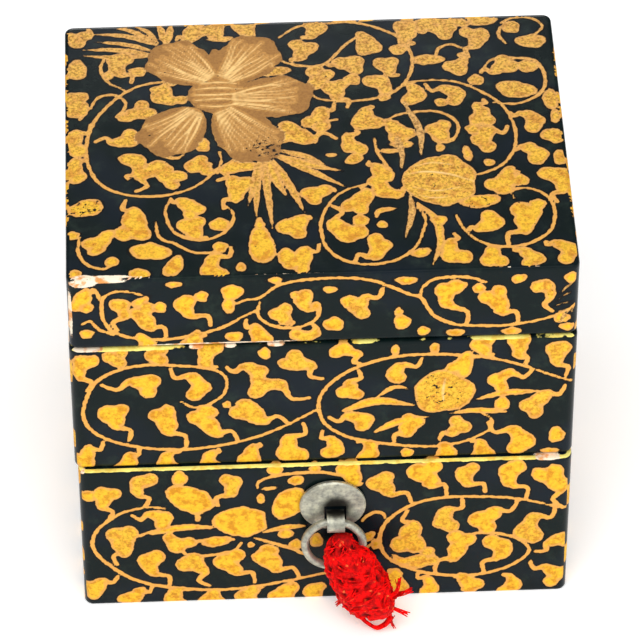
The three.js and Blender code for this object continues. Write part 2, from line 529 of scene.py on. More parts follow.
BASE_FRONT = Scrollwork(
    stems=(
        (-31.2, 26.6, -34, 27.1, -36.5, 26.8, -39.6, 25.7, -42.8, 23.2, -44.9, 20.4, -45.6, 16.9, -44.3,
         13.5, -41.5, 10.1, -37.8, 6.9, -32.8, 4.8, -25.9, 3.5, -19, 3.2, -12.1, 4.1, -6.5, 5.4, 0, 7),
        (-36.5, 19.1, -33.4, 20.4, -28.4, 21.3, -22.1, 20.7),
        (-14, 17.6, -10.3, 16, -6.5, 14.1, -2.8, 11.6),
        (-16.5, 16.3, -17.8, 14.4, -20.3, 13.5, -24, 13, -27.1, 13.5, -28.7, 15.4),
        (-28.7, 15.4, -26, 16.8, -22, 17.6, -18, 17.4),
        (-13.1, 31.6, -13.1, 32.9, -11.5, 34.1, -7.8, 35.1, -2.1, 35.4, 1.6, 34.8, 4.8, 33.5, 6.3, 31.6),
        (47.3, 23.2, 43.5, 24.4, 39.8, 25.7, 34.8, 26.8, 29.1, 27.3, 23.5, 27.3, 18.5, 26.3, 14.8, 24.1,
         11.9, 21, 10.7, 17.3, 11, 13.5, 12.6, 10.4, 16, 7.9, 20.4, 6, 26, 5.1, 31, 5.4, 35.4, 6.9, 38.5,
         9.1, 40.1, 11.6, 39.1, 13.8, 36.6, 15.7, 32.9, 16.9, 29.1, 16.9, 28.2, 15.4),
        (7.2, 21.5, 8.2, 22.9, 9.8, 23.8, 11.3, 23.2, 11.6, 22),
        (0, 7, 2.8, 8.3, 5.2, 10.4, 7.6, 13.4, 9.2, 15),
    ),
    leaves=(
        (-42.5, 30.2, -42.4, 23.9), (-35.3, 33.2, -35, 27.4), (-18.6, 32.5, -20.9, 27),
        (4.9, 34.5, 6.6, 31.6), (11.6, 31.6, 16.6, 26.3), (19.8, 34.1, 23.5, 28.2), (27.6, 33.5, 31, 28.5),
        (36.3, 33.2, 39.1, 26.6), (44.1, 31.3, 46.3, 23.5), (-32.4, 23.5, -37.6, 25),
        (-39.6, 17.9, -41, 11.3), (-34, 11.6, -30.9, 4.4), (-26.2, 10.4, -23, 4.4), (-18.4, 11, -14, 5),
        (-10.9, 11.3, -5.3, 6), (-45.6, 4.8, -41, 7.9), (-38, 1.6, -34.3, 4.5), (-29.6, 1, -27.4, 3.6),
        (-22.1, 0.7, -21.5, 3.4), (-15.3, 1, -13, 3.6), (-8, 1.6, -6.5, 5.2), (-1.8, 1.6, 0.5, 3),
        (23.8, 21, 26.6, 26.6), (31.6, 20.4, 37.3, 25.7), (40.4, 17.9, 44.8, 23.5), (16.3, 16.6, 16, 23.8),
        (19.1, 10.1, 15, 9), (26, 13.5, 21.6, 6.3), (33.8, 12.9, 31.3, 6), (44.8, 4.4, 40.4, 8.5),
        (20.4, 2.3, 18.2, 6), (28.2, 2.9, 26, 4.8), (36.3, 1.9, 35.4, 5), (13.8, 4.1, 12.9, 7.3),
        (46, 13.8, 41.3, 11.3), (-28.7, 17.3, -30, 20.4), (2.4, 12.8, 4.9, 10.2), (7.8, 7.8, 5.6, 11.2),
        (5, 3.2, 3.4, 8), (9.9, 3.4, 8.4, 7),
    ),
    spots=(
        (-46.2, 30.7, 1.8, 1.5), (-11, 31.3, 1.6, 0.5, 8), (-12.6, 28.5, 0.8, 1.5), (-9.7, 36.3, 1.6, 1.4),
        (-2.1, 36.3, 1.2, 1), (-7.8, 18.5, 1.6, 1.3), (-5.9, 15.4, 1.3, 1.5), (-1.8, 16.3, 1.3, 2),
        (-21.5, 16.9, 3, 1.4, 8), (-24.9, 23.8, 0.6, 1.2), (9.8, 14.8, 0.9, 1.6), (-28.2, 34.8, 1.6, 2),
        (-5.7, 33.3, 1.6, 1.3, 20), (-14.6, 15.7, 0.7, 0.8), (8.4, 17, 1, 1.6, -40),
    ),
    blades=(
        (2.0, 0, 18.5, 11.2, 15.5, 9.6, 12.9, 11.8), (1.5, 0, -4, 20.6, -8, 20.3, -12.6, 19),
        (1.8, 0, -34, 19.6, -28, 21.2, -21, 20.9),
    ),
    petals=(
        (-26.5, 29.1, 5.2, 3.3, -35, 0, 0), (-16.8, 22.3, 5.4, 4.1, -5, 0, 0),
        (-7.1, 26.9, 4.7, 3.1, 60, 0, 0),
    ),
    stem_width=0.8,
)

MIDDLE_FRONT = Scrollwork(
    stems=(
        (-27.1, 54.5, -24.9, 52.9, -22.1, 53.6, -19.3, 55.8, -18.4, 58.9, -19.3, 61.7, -22.8, 63.3, -28.4,
         64.2, -34, 64.5, -39, 63.3, -42.8, 60.8, -44.9, 57, -45.9, 52, -44.9, 48.3, -42.1, 45.4, -37.8,
         43.3, -32.1, 42, -25.9, 41.7, -19, 42.6, -12.8, 44.5, -7.8, 47, -4, 49.5, -1.2, 51.4),
        (47.6, 56.7, 43.5, 58.6, 38.5, 61.1, 32.9, 63.3, 26.6, 64.6, 20.4, 65.1, 14.1, 64.8, 8.5, 63.3, 3.5,
         60.4, 0.4, 57, -1, 53.3, -0.6, 49.5, 1, 46.4, 4.8, 43.6, 9.8, 42, 16, 40.8, 21.6, 40.4, 26.6, 41.4,
         30.4, 43.3, 32.3, 45.4, 31.9, 47.6, 30.4, 48.9),
    ),
    leaves=(
        (-45.3, 64.5, -45, 58), (-38.7, 66.7, -37.1, 64.5), (-31.2, 66.8, -29.6, 65),
        (-21.5, 66.5, -20.6, 63.3), (-13.4, 61.7, -18.4, 63.3), (-4.9, 64, -0.2, 59.5),
        (4.1, 66.5, 6.8, 63.2), (30.4, 67, 31.6, 64.6), (36.9, 66.4, 38.4, 62), (44.4, 64.2, 46, 58.4),
        (-34, 59, -42, 59.6), (-24.3, 58.6, -29, 63.3), (-39.6, 51.4, -37.4, 44.5),
        (-30.3, 49.5, -26.5, 42.3), (-22.1, 48.9, -16.5, 43.3), (-10.9, 57.6, -2.8, 54.5),
        (-14, 50.8, -6.8, 47.6), (-45.9, 40.1, -42.4, 44.2), (-37.8, 38.2, -35.6, 42),
        (-29.6, 38.2, -28.4, 40.8), (-21.8, 38.2, -20.3, 41.4), (-14, 39.5, -12.4, 42.6),
        (-5.9, 40.8, -4, 47.6), (1.6, 40.8, -0.3, 45.4), (8.2, 39.5, 6.9, 42.3), (23.2, 38.9, 22.2, 40.6),
        (30.4, 38.9, 28.8, 42), (37.3, 41.4, 31.6, 46.4), (41, 51.4, 46, 55.8), (34.1, 57.6, 39.5, 60.1),
        (26.3, 62, 28.2, 64.2), (14.1, 60.4, 18.5, 63.9), (5.1, 56, 6.6, 61.4), (6.6, 47.9, 1, 49.2),
        (16.3, 46.4, 13.5, 42), (25.7, 45.8, 22.3, 42.3),
    ),
    spots=(
        (-11.2, 66.7, 1.2, 1.6), (13.5, 66.5, 0.8, 1.4), (21, 66.7, 0.9, 1.4), (-18.5, 53.4, 0.9, 0.9),
        (16, 38.9, 1.3, 1.2), (44.8, 42.6, 1.6, 2.2), (43.5, 38.2, 1.8, 0.8), (34.1, 51.4, 1.5, 1.8),
        (22.8, 55, 5.8, 5.5, 0, 0.2),
    ),
    blades=(
        (2.2, 0.1, 3.8, 50.8, 10, 53.1, 17.3, 51.7), (1.1, 0, 10.4, 54.5, 13.5, 56.7, 16.3, 56.1),
        (1.6, 0.1, 41, 54.5, 34.1, 54.2, 28.5, 52.6), (1.8, 0, 9.8, 44.8, 14.1, 47.3, 20.4, 48.6),
        (1.5, 0, 34.8, 49.2, 29.1, 49.8, 24.1, 49.2),
    ),
    veins=(
        (0.5, 22.9, 52.6, 22.7, 55, 23.1, 58.5),
    ),
    leaf_size=0.96,
    stem_width=0.74,
)

LID_FRONT = Scrollwork(
    stems=(
        (-33.1, 81.7, -35.6, 82.9, -38.4, 83.3, -40.9, 82, -41.5, 78.9, -40.9, 75.1, -39, 72.6, -35.3, 71.1,
         -29.6, 70.6, -24, 71.6, -19, 73.3, -15.3, 75.8, -12.1, 77.6),
        (-11.9, 79.5, -12.4, 77, -11.5, 74.8, -9, 73.1, -5.9, 72.6, -3, 73.4, -1.2, 75.1, -0.6, 77.6),
        (-17.1, 78.9, -14.6, 80.1, -12, 80.6, -9, 83.3, -5.3, 84.6, -0.3, 85.1, 4.8, 85, 9.1, 84.2, 12.9,
         82.3, 16, 80.4, 18.2, 79.5, 19.4, 77, 21, 74.5, 24.8, 72.3, 29.8, 71.7, 35.4, 71.7, 41, 72.9, 44.8,
         74.5, 47.3, 76.4), (18.2, 79.8, 18.5, 82, 20.4, 83.9, 23.5, 84.5, 27.3, 84.2, 30.4, 82.9),
        (-42.6, 84, -41.6, 81), (-45.3, 75.1, -43.7, 75.8, -42.1, 73.6, -39.6, 72.3),
    ),
    leaves=(
        (-44.9, 81.1, -43, 84), (-38.1, 78.9, -38.7, 73.3), (-33.4, 76.4, -29.6, 71.4),
        (-25.6, 79, -21.2, 73.9), (-34, 69.8, -36, 71.3), (-24.6, 69.3, -22.8, 71.3),
        (-12.1, 70.8, -14.6, 75), (-3.4, 70.8, -1.5, 73), (-7.8, 76.4, -6, 73.6), (23.8, 80.1, 26.9, 72.3),
        (32.6, 77.9, 36.6, 72.6), (41.3, 80.6, 43, 75), (7, 77.6, 11, 82), (-3.4, 79.6, -1, 76),
    ),
    spots=(
        (-34.3, 80.4, 1.9, 1, 35), (-30.6, 78.9, 1.3, 1.4), (-22.8, 81.4, 1.3, 1.4),
        (-17.1, 82.3, 2.2, 1.9), (-17.8, 79, 1.2, 2.2), (-44.5, 72.6, 1.4, 1.2), (-16.8, 70.8, 1.7, 1.3),
        (-5.3, 81.1, 1.1, 0.9), (-1.5, 78.2, 1.1, 1), (1.9, 73.3, 2, 1.8), (4.8, 78.9, 1.6, 1.7),
        (14.8, 73.3, 1.6, 1.9), (14.1, 76, 0.8, 1.1), (18.8, 70.8, 1.2, 1.2), (15.4, 83.9, 2.1, 1),
        (25.7, 82.3, 1.3, 1), (29.1, 81.4, 1.3, 1.2), (24.8, 70.1, 1.8, 1), (35.4, 70.1, 1.9, 1),
        (44.8, 73.2, 1.6, 1.3), (46, 70.8, 1.5, 1), (-9, 85, 1.4, 0.8), (1.2, 82.2, 1.3, 0.8),
        (-28, 84.6, 1.6, 0.8), (36.5, 83.6, 1.5, 1.1, 20), (46.2, 83.5, 1.2, 1.4),
    ),
    blades=(
        (0.32, 0.5, 43.4, 77.2, 44.6, 78.6, 46.2, 79.7), (0.25, 0.5, 43, 76, 44.8, 76.9, 46.8, 77.3),
        (0.3, 0.6, 44.4, 79.4, 45.3, 80.9, 46.3, 81.8), (0.28, 0.6, 44.6, 72.2, 45.6, 74.2, 46.9, 75.2),
        (0.25, 0.6, 43.6, 74.8, 44.9, 75.1, 46.8, 74.6),
    ),
    leaf_size=0.89,
    stem_width=0.72,
)

TOP_FACE = Scrollwork(
    stems=(
        (-18.4, -1, -18.4, -4.6, -21.5, -9, -25.3, -11.8, -30.9, -13.1, -36.5, -12.4, -40.9, -9.6, -43.1,
         -5.3, -43.9, -0.3, -43.4, 4.8, -41.8, 9.8, -39, 14.1, -35.6, 17.6, -32.1, 19.4, -27, 20, -23,
         19.5), (-43, 12.6, -41.5, 15.8, -38.4, 16.5, -36.2, 14, -37, 11),
        (-40.3, 27.3, -40.9, 24.1, -39.6, 20.4, -36.5, 17.9),
        (-5.9, 32.3, -2.1, 35.4, 2.9, 36.3, 8.5, 36.3, 13.5, 34.4, 17.3, 31.6, 19.4, 27.9, 19.8, 22.9, 18.2,
         17.9, 14.8, 14.4, 9.8, 12.9, 4.8, 12.8, 1, 13.8, -0.3, 15.4),
        (-6.5, 25.7, -2.8, 23.8, 1.6, 23.5, 4.1, 25.4, 6.6, 29.1, 9.1, 31.6),
        (34.8, 11, 39.8, 10.7, 44.1, 13.5, 45.4, 17.9, 44.1, 22.9, 40.4, 24.1, 35.4, 23.8, 33, 20),
        (19.1, 17.9, 24.1, 18.2, 28.5, 17.3, 32.3, 14.8, 36, 11, 37.9, 6.6, 38.5, 1.6, 37.6, -3.4, 34.8,
         -7.4, 30.4, -9.6, 28.5, -9.6),
        (13.5, 6, 16, 8.2, 20.4, 9.1, 24.1, 8.8, 26.9, 6.6, 27.6, 3.5, 26, 0.4, 23.5, 0, 22.3, 1.6),
        (11.3, 1.6, 11.9, -2.8, 14.1, -7.8),
        (9.1, -11.5, 5.4, -12.8, 2.3, -15.9, 0.4, -20.3, 0.1, -24.6, 1, -29, 4.1, -32.4, 8.5, -33.7, 13.5,
         -32.8, 17.3, -29.6, 19.1, -25.3, 19.8, -21.5, 18.5, -17.8),
        (36.9, -16.5, 36.6, -14.6, 39.1, -13.7, 42.3, -15.3, 44.1, -18.4, 44.1, -22.8, 42.6, -26.5, 38.5,
         -29.3, 33.5, -29.9, 29.1, -27.8, 26.6, -24, 25.7, -20.9),
        (-27.8, -14, -29, -16.5, -28.7, -20.3, -27.4, -23.4, -24.6, -25.3, -21.5, -25.6, -18.4, -24, -16.5,
         -20.9, -16.5, -17.8, -18.4, -15.9),
        (-31, -20.3, -30.3, -24.6, -27.4, -26.5, -24, -29, -19.6, -29.3),
        (-45.3, -24, -45.6, -27.8, -44, -31.5, -40.9, -32.8, -39, -31.5),
        (37.9, 34.8, 40.4, 36.3, 44.1, 36, 46, 33.5, 44.4, 31), (37.6, 33.5, 37.3, 31, 38.5, 28.5),
        (1, 4, 0, 1, 1.6, 6.4, 4.5, 7.5), (24.5, 24.8, 25.2, 27.6, 27.5, 28.8, 29.8, 27.6),
    ),
    leaves=(
        (-45.3, 33.8, -43, 36), (-22.1, 34.8, -26, 32.5), (-17.8, 35.7, -14, 37), (-12.1, 35, -10.9, 32.8),
        (1, 34.8, -1, 32), (19.1, 32.9, 20, 29), (26, 32.9, 21, 33.5), (27.9, 36.6, 30, 36),
        (32.3, 31, 31, 25), (-1.5, 28.5, -3.5, 25), (11, 29.8, 9.5, 32), (7.6, 23.5, 3, 24),
        (15.1, 22.9, 16.5, 20), (28.2, 22.3, 30, 26), (-37.1, 25.4, -35, 20), (37.3, 22.3, 33, 20),
        (-45.9, 14.8, -45, 9.5), (-28.4, 16, -27, 20), (-33.4, 11.6, -38, 10), (1.3, 19.8, -1, 16.5),
        (4.8, 16.4, 6.6, 11), (12.9, 17, 13, 14), (19.4, 14.1, 18, 17), (26.9, 13.8, 22, 17),
        (32.3, 7.9, 33, 12), (41.6, 5.4, 38, 8), (-36.5, 3.5, -42, 3), (-46.5, 2.3, -43, 8),
        (1, 7.9, 4, 12), (10.4, 7.3, 11, 11), (-3.7, 3.5, 4, 2), (16, 3.5, 13.5, 6), (24.1, 3.5, 26, 0.5),
        (32.9, 0.4, 37, 4), (-46.2, -5.3, -44, 0), (-34.9, -4, -36, -8), (-22.1, -4.6, -19, -7),
        (-28.4, -7.8, -33, -6), (-15.3, -5.3, -19, -9), (7.3, 0, 8, 4), (11.6, -9, 10, -5),
        (41.6, -4, 38, -2), (-24.6, -16.5, -28, -14), (-15.3, -11.5, -18, -17), (-0.3, -14, 3, -12.5),
        (7.6, -15.9, 9, -11.5), (12.9, -12.8, 16, -13), (35.4, -11.5, 38, -9), (45.4, -11.5, 45, -18),
        (-35.3, -20.9, -36.5, -14), (-41.5, -25.3, -38, -23), (-23.7, -22.1, -22, -25),
        (-4.6, -22.8, -2, -20), (5.1, -24, 2, -17), (31.6, -22.8, 28, -25), (38.5, -22.1, 35, -29.5),
        (-20.3, -33.4, -17, -28), (-4, -32.1, -0.5, -28), (10.1, -29, 6, -33), (24.8, -30.9, 25, -26),
        (32.3, -32.8, 33, -30), (38.5, -33.4, 36, -30), (45.4, -31.5, 42, -29), (-12.1, 22.3, -5.5, 22.8),
        (-31, -6, -34.5, -11.5), (22.6, 36.4, 20.5, 33),
    ),
    spots=(
        (28.9, -3.4, 0.9, 2.2, 8), (-6.6, -30.8, 1.8, 2.2), (-17.1, 32.3, 2.6, 0.8), (4.8, 36.9, 1.6, 1),
        (34.1, 36, 3, 1.8), (39.8, 33.5, 1.8, 1.8), (43.5, 29.1, 3, 2), (17.3, 27.6, 1.8, 1.5),
        (22.9, 24.4, 3.2, 1.5), (-45.6, 24.1, 2, 3), (-33.7, 23.2, 1.8, 1.4), (-39.3, 22.3, 0.9, 1.3),
        (-7.8, 22.3, 3.6, 1.5), (42.3, 21.6, 2.2, 1.8), (-25.6, 14.5, 1.6, 1.2), (7.9, 19.1, 1.7, 1.7),
        (13.8, 13.5, 1.3, 1), (24.8, 11.6, 1.4, 1.2), (31.9, 17.9, 1.6, 1.6), (39.4, 14.8, 4, 2.4, -15),
        (46, 11.6, 1.5, 3), (46.6, 6.6, 1, 2), (-21.7, 1.2, 1.6, 2), (-45.8, 13, 2.5, 3.2),
        (-35.6, -2.2, 2.1, 1.4), (-22.5, -4.6, 2.6, 1.3), (8.6, 5.8, 1.7, 1.4), (-30, 17.6, 1.5, 1.2),
        (-36.2, 9.7, 1.6, 1.2), (32.6, 2.6, 1.8, 1.6), (16.6, -0.3, 2.2, 1), (30.4, 3.5, 1.4, 1.6),
        (45.7, 1, 2.5, 2, -30), (2.9, -2.8, 1, 0.6), (7.3, -4, 2, 1.4, 40), (14.1, -2.1, 1.8, 0.7),
        (32.9, -6.2, 1.2, 1), (46.6, -5.3, 1.4, 2.2), (23.8, -1.5, 0.9, 1.1), (-44, -15.9, 3.5, 2.3, 18),
        (30.4, -17.1, 4, 1.8, 6), (38.5, -11.5, 1.6, 1.7), (41.3, -18.4, 1.6, 1.5), (11.6, -22.8, 1, 1),
        (-19, -21.5, 2, 1.8), (7.6, -21.5, 1.6, 1.6), (22.3, -22.1, 1.6, 1.3), (-46.5, -23.4, 1.2, 1.2),
        (-32.1, -28.4, 4, 2.3, -8), (-27.8, -32.8, 1.7, 3, -25), (-19, -27.8, 1.4, 1.6),
        (-15.3, -33.4, 1, 1.2), (-34.3, -34.9, 2, 2), (-46.2, -34, 1.2, 1.2), (-39.3, -30.9, 1.4, 1.3),
        (18.5, -30.9, 2, 1.2, 20), (-18.4, 26.6, 1.5, 2.5, 0, 0.9), (-11.2, -27.8, 2.5, 5.2, 5),
        (-11.4, -22, 0.9, 2),
    ),
    blades=(
        (1.3, 0.45, -30, 31, -36, 34, -42.1, 34.8), (1.3, 0.4, -30, 31, -34, 35, -38.4, 36.9),
        (1.2, 0.4, -29.6, 31.5, -31.5, 35, -34.3, 37.2), (1.4, 0.4, -30.2, 28, -37, 29.8, -44.3, 30.2),
        (1.3, 0.3, -30.2, 28, -37, 27.6, -44.3, 28.4), (1.2, 0.4, -30, 29, -36, 31.5, -42, 32.5),
        (1.8, 0.3, -28, 31, -28.6, 34, -29.6, 37.5), (1.6, 0.3, -28, 31, -27.4, 34, -26.9, 37.5),
        (1.5, 0.35, -10.8, -3, -12, -10, -13.4, -16.5), (1.4, 0.3, -10.5, -3, -11.6, -12, -12, -20),
        (1.5, 0.35, -10, -3, -9.6, -13, -9, -23), (1.9, 0.3, -9.5, -2.5, -8, -9, -5.9, -14.6),
        (1.7, 0.3, -9, -2.5, -5.4, -11, -2.8, -19), (1.7, 0.3, -8, -2, -1, -5.5, 4.8, -7.4),
        (1.6, 0.3, -8, -2.5, -1.5, -7, 5.4, -12.1), (1.5, 0.35, -7, -1, -2, -3, 2, -6),
        (1.4, 0.7, 17.6, 11.6, 20.2, 3.5, 20, -4), (1.1, 0.6, 15.7, 1.6, 16.4, -3, 16, -7.8),
        (1.3, 0.5, 17.3, -14.6, 17.3, -20.3, 15.7, -26.8),
        (1.6, 0.2, 18.5, -17.1, 21.6, -21.5, 22.3, -27.8, 20.4, -34.6),
        (1.1, 0, -29.6, 0.6, -29.2, -1.5, -26.6, -2.4, -25.2, -1.4),
        (1.4, 0, 10.6, -20.6, 11.4, -19, 14.6, -18.4),
    ),
    petals=(
        (-24.9, 24.9, 7.4, 6.0, 138, 1, 10), (-12.6, 25.8, 7.5, 5.9, 52, 1, 10),
        (-8.0, 14.6, 8.1, 5.9, 2, 1, 11), (-13.4, 4.2, 8.8, 6.0, -60, 0.93, 9),
        (-26.9, 5.6, 7.6, 6.0, -127, 1, 9), (-18.1, 15.7, 6.0, 5.8, 0, 0.95, 0),
        (23, -10.9, 7.1, 7, 0, 0.3, 0),
    ),
    veins=(
        (0.4, -21.5, 19, -18, 19.4, -14.6, 18.8), (0.4, -22.6, 17.4, -18.5, 17.8, -13.5, 17.2),
        (0.45, -23, 15.9, -19, 15.7, -13.2, 16), (0.4, -22.7, 14.2, -18, 14.5, -13.6, 14),
        (0.4, -21.8, 12.6, -18, 12.3, -14.4, 12.9), (0.5, 16.8, -9, 20.5, -8.3, 25, -9.2, 29.6, -11.4),
        (0.3, 18, -12.5, 22, -13.8, 27, -13), (0.3, 19, -15, 22, -15.8, 25, -15.4),
        (0.3, 18.4, -6.8, 22, -5.8, 26, -6.6),
    ),
    leaf_size=1.05,
    stem_width=0.68,
)


def mesh_of(bm: bmesh.types.BMesh, name: str) -> bpy.types.Mesh:
    """Turns a finished bmesh into a mesh.

    Args:
        bm: the bmesh, which is freed.
        name: the mesh's name.

    Returns:
        The mesh.
    """
    mesh = bpy.data.meshes.new(name)
    bm.to_mesh(mesh)
    bm.free()
    return mesh


def grid_of(name: str, across: int, up: int) -> tuple[bpy.types.Mesh, np.ndarray]:
    """Makes a flat grid of one by one.

    Args:
        name: the mesh's name.
        across: how many faces it has across.
        up: how many faces it has up.

    Returns:
        The mesh, and each vertex's share of the way across and up.
    """
    bm = bmesh.new()
    bmesh.ops.create_grid(bm, x_segments=across, y_segments=up, size=0.5)
    mesh = mesh_of(bm, name)
    co = np.empty(len(mesh.vertices) * 3)
    mesh.vertices.foreach_get("co", co)
    return mesh, co.reshape(-1, 3)[:, :2] + 0.5


def into_scene(name: str, data: bpy.types.ID) -> bpy.types.Object:
    """Makes an object of a mesh, a curve, a light or a camera and puts it in the scene.

    Args:
        name: the object's name.
        data: what it shows.

    Returns:
        The object.
    """
    made = bpy.data.objects.new(name, data)
    bpy.context.scene.collection.objects.link(made)
    return made


def close(bm: bmesh.types.BMesh, join: float) -> None:
    """Joins points that meet, fills what is open and turns every face outwards.

    Args:
        bm: the bmesh.
        join: how close points are joined, in metres.
    """
    bmesh.ops.remove_doubles(bm, verts=bm.verts, dist=join)
    bmesh.ops.holes_fill(bm, edges=[e for e in bm.edges if e.is_boundary], sides=0)
    bmesh.ops.recalc_face_normals(bm, faces=bm.faces)


@dataclass(frozen=True)
class Patch:
    """A worn or chipped place on a tier's face, or a painted highlight or a tone shift, fading out from its
    middle.
    """

    face: Face
    layer: Layer
    x: float
    y: float
    reach_x: float
    reach_y: float
    strength: float = 1.0


@dataclass(frozen=True)
class Plan:
    """A tier's outline from above: a rectangle with rounded corners."""

    width: float
    depth: float
    shift_x: float = 0.0
    shift_y: float = 0.0
    corner: float = 1.8

    def place(self, xn: np.ndarray, yn: np.ndarray, inset: np.ndarray) -> tuple[np.ndarray, np.ndarray]:
        """Puts points of a square from -1 to 1 into the outline.

        Args:
            xn: the points in the square.
            yn: the points in the square.
            inset: how far inside the outline the square's edge lies.

        Returns:
            The points in mm.
        """
        a, b = self.width / 2 - inset, self.depth / 2 - inset
        r = np.maximum(self.corner - inset, 0.4)
        x, y = xn * a, yn * b
        p, q = np.abs(x) - (a - r), np.abs(y) - (b - r)
        bend = (p > 0) & (q > 0)
        longest = np.maximum(np.maximum(p, q), 1e-9)
        ratio = np.where(bend, longest / np.maximum(np.hypot(p, q), 1e-9), 1)
        x = np.where(bend, np.sign(x) * (a - r + p * ratio), x)
        y = np.where(bend, np.sign(y) * (b - r + q * ratio), y)
        return x + self.shift_x, y + self.shift_y


@dataclass(frozen=True)
class Station:
    """One level of a tier's wall: its outline, how far inside that, its height and its share of gilding."""

    plan: Plan
    inset: float
    z: float
    gilt: float = 0.0


BASE_PLAN = Plan(95.4, 75.2, 0.25, 0.0)
MIDDLE_PLAN = Plan(96.1, 73.8, 0.0, 0.4)
LID_PLAN = Plan(95.8, 73.2, 0.0, 0.6)
# The edges' rounding, the gilding's reach onto a rim, the lip's outside and inside, its rise, the skirt.
EDGE = 0.45
GILT_INSET = 0.85
RIM_INSET = 2.7
INNER_INSET = 4.1
LIP = 2.6
SKIRT_INSET = 2.2


def worn(face: Face, layer: Layer, *places: tuple[float, ...]) -> tuple[Patch, ...]:
    """Lists the worn places of one kind on one face, and the few that paint a highlight or shift the tone.

    Args:
        face: the face.
        layer: what the wear left, or what the patch paints.
        places: each one's middle, its reach across and up, and its strength where that isn't one.

    Returns:
        The patches.
    """
    return tuple(Patch(face, layer, *place) for place in places)


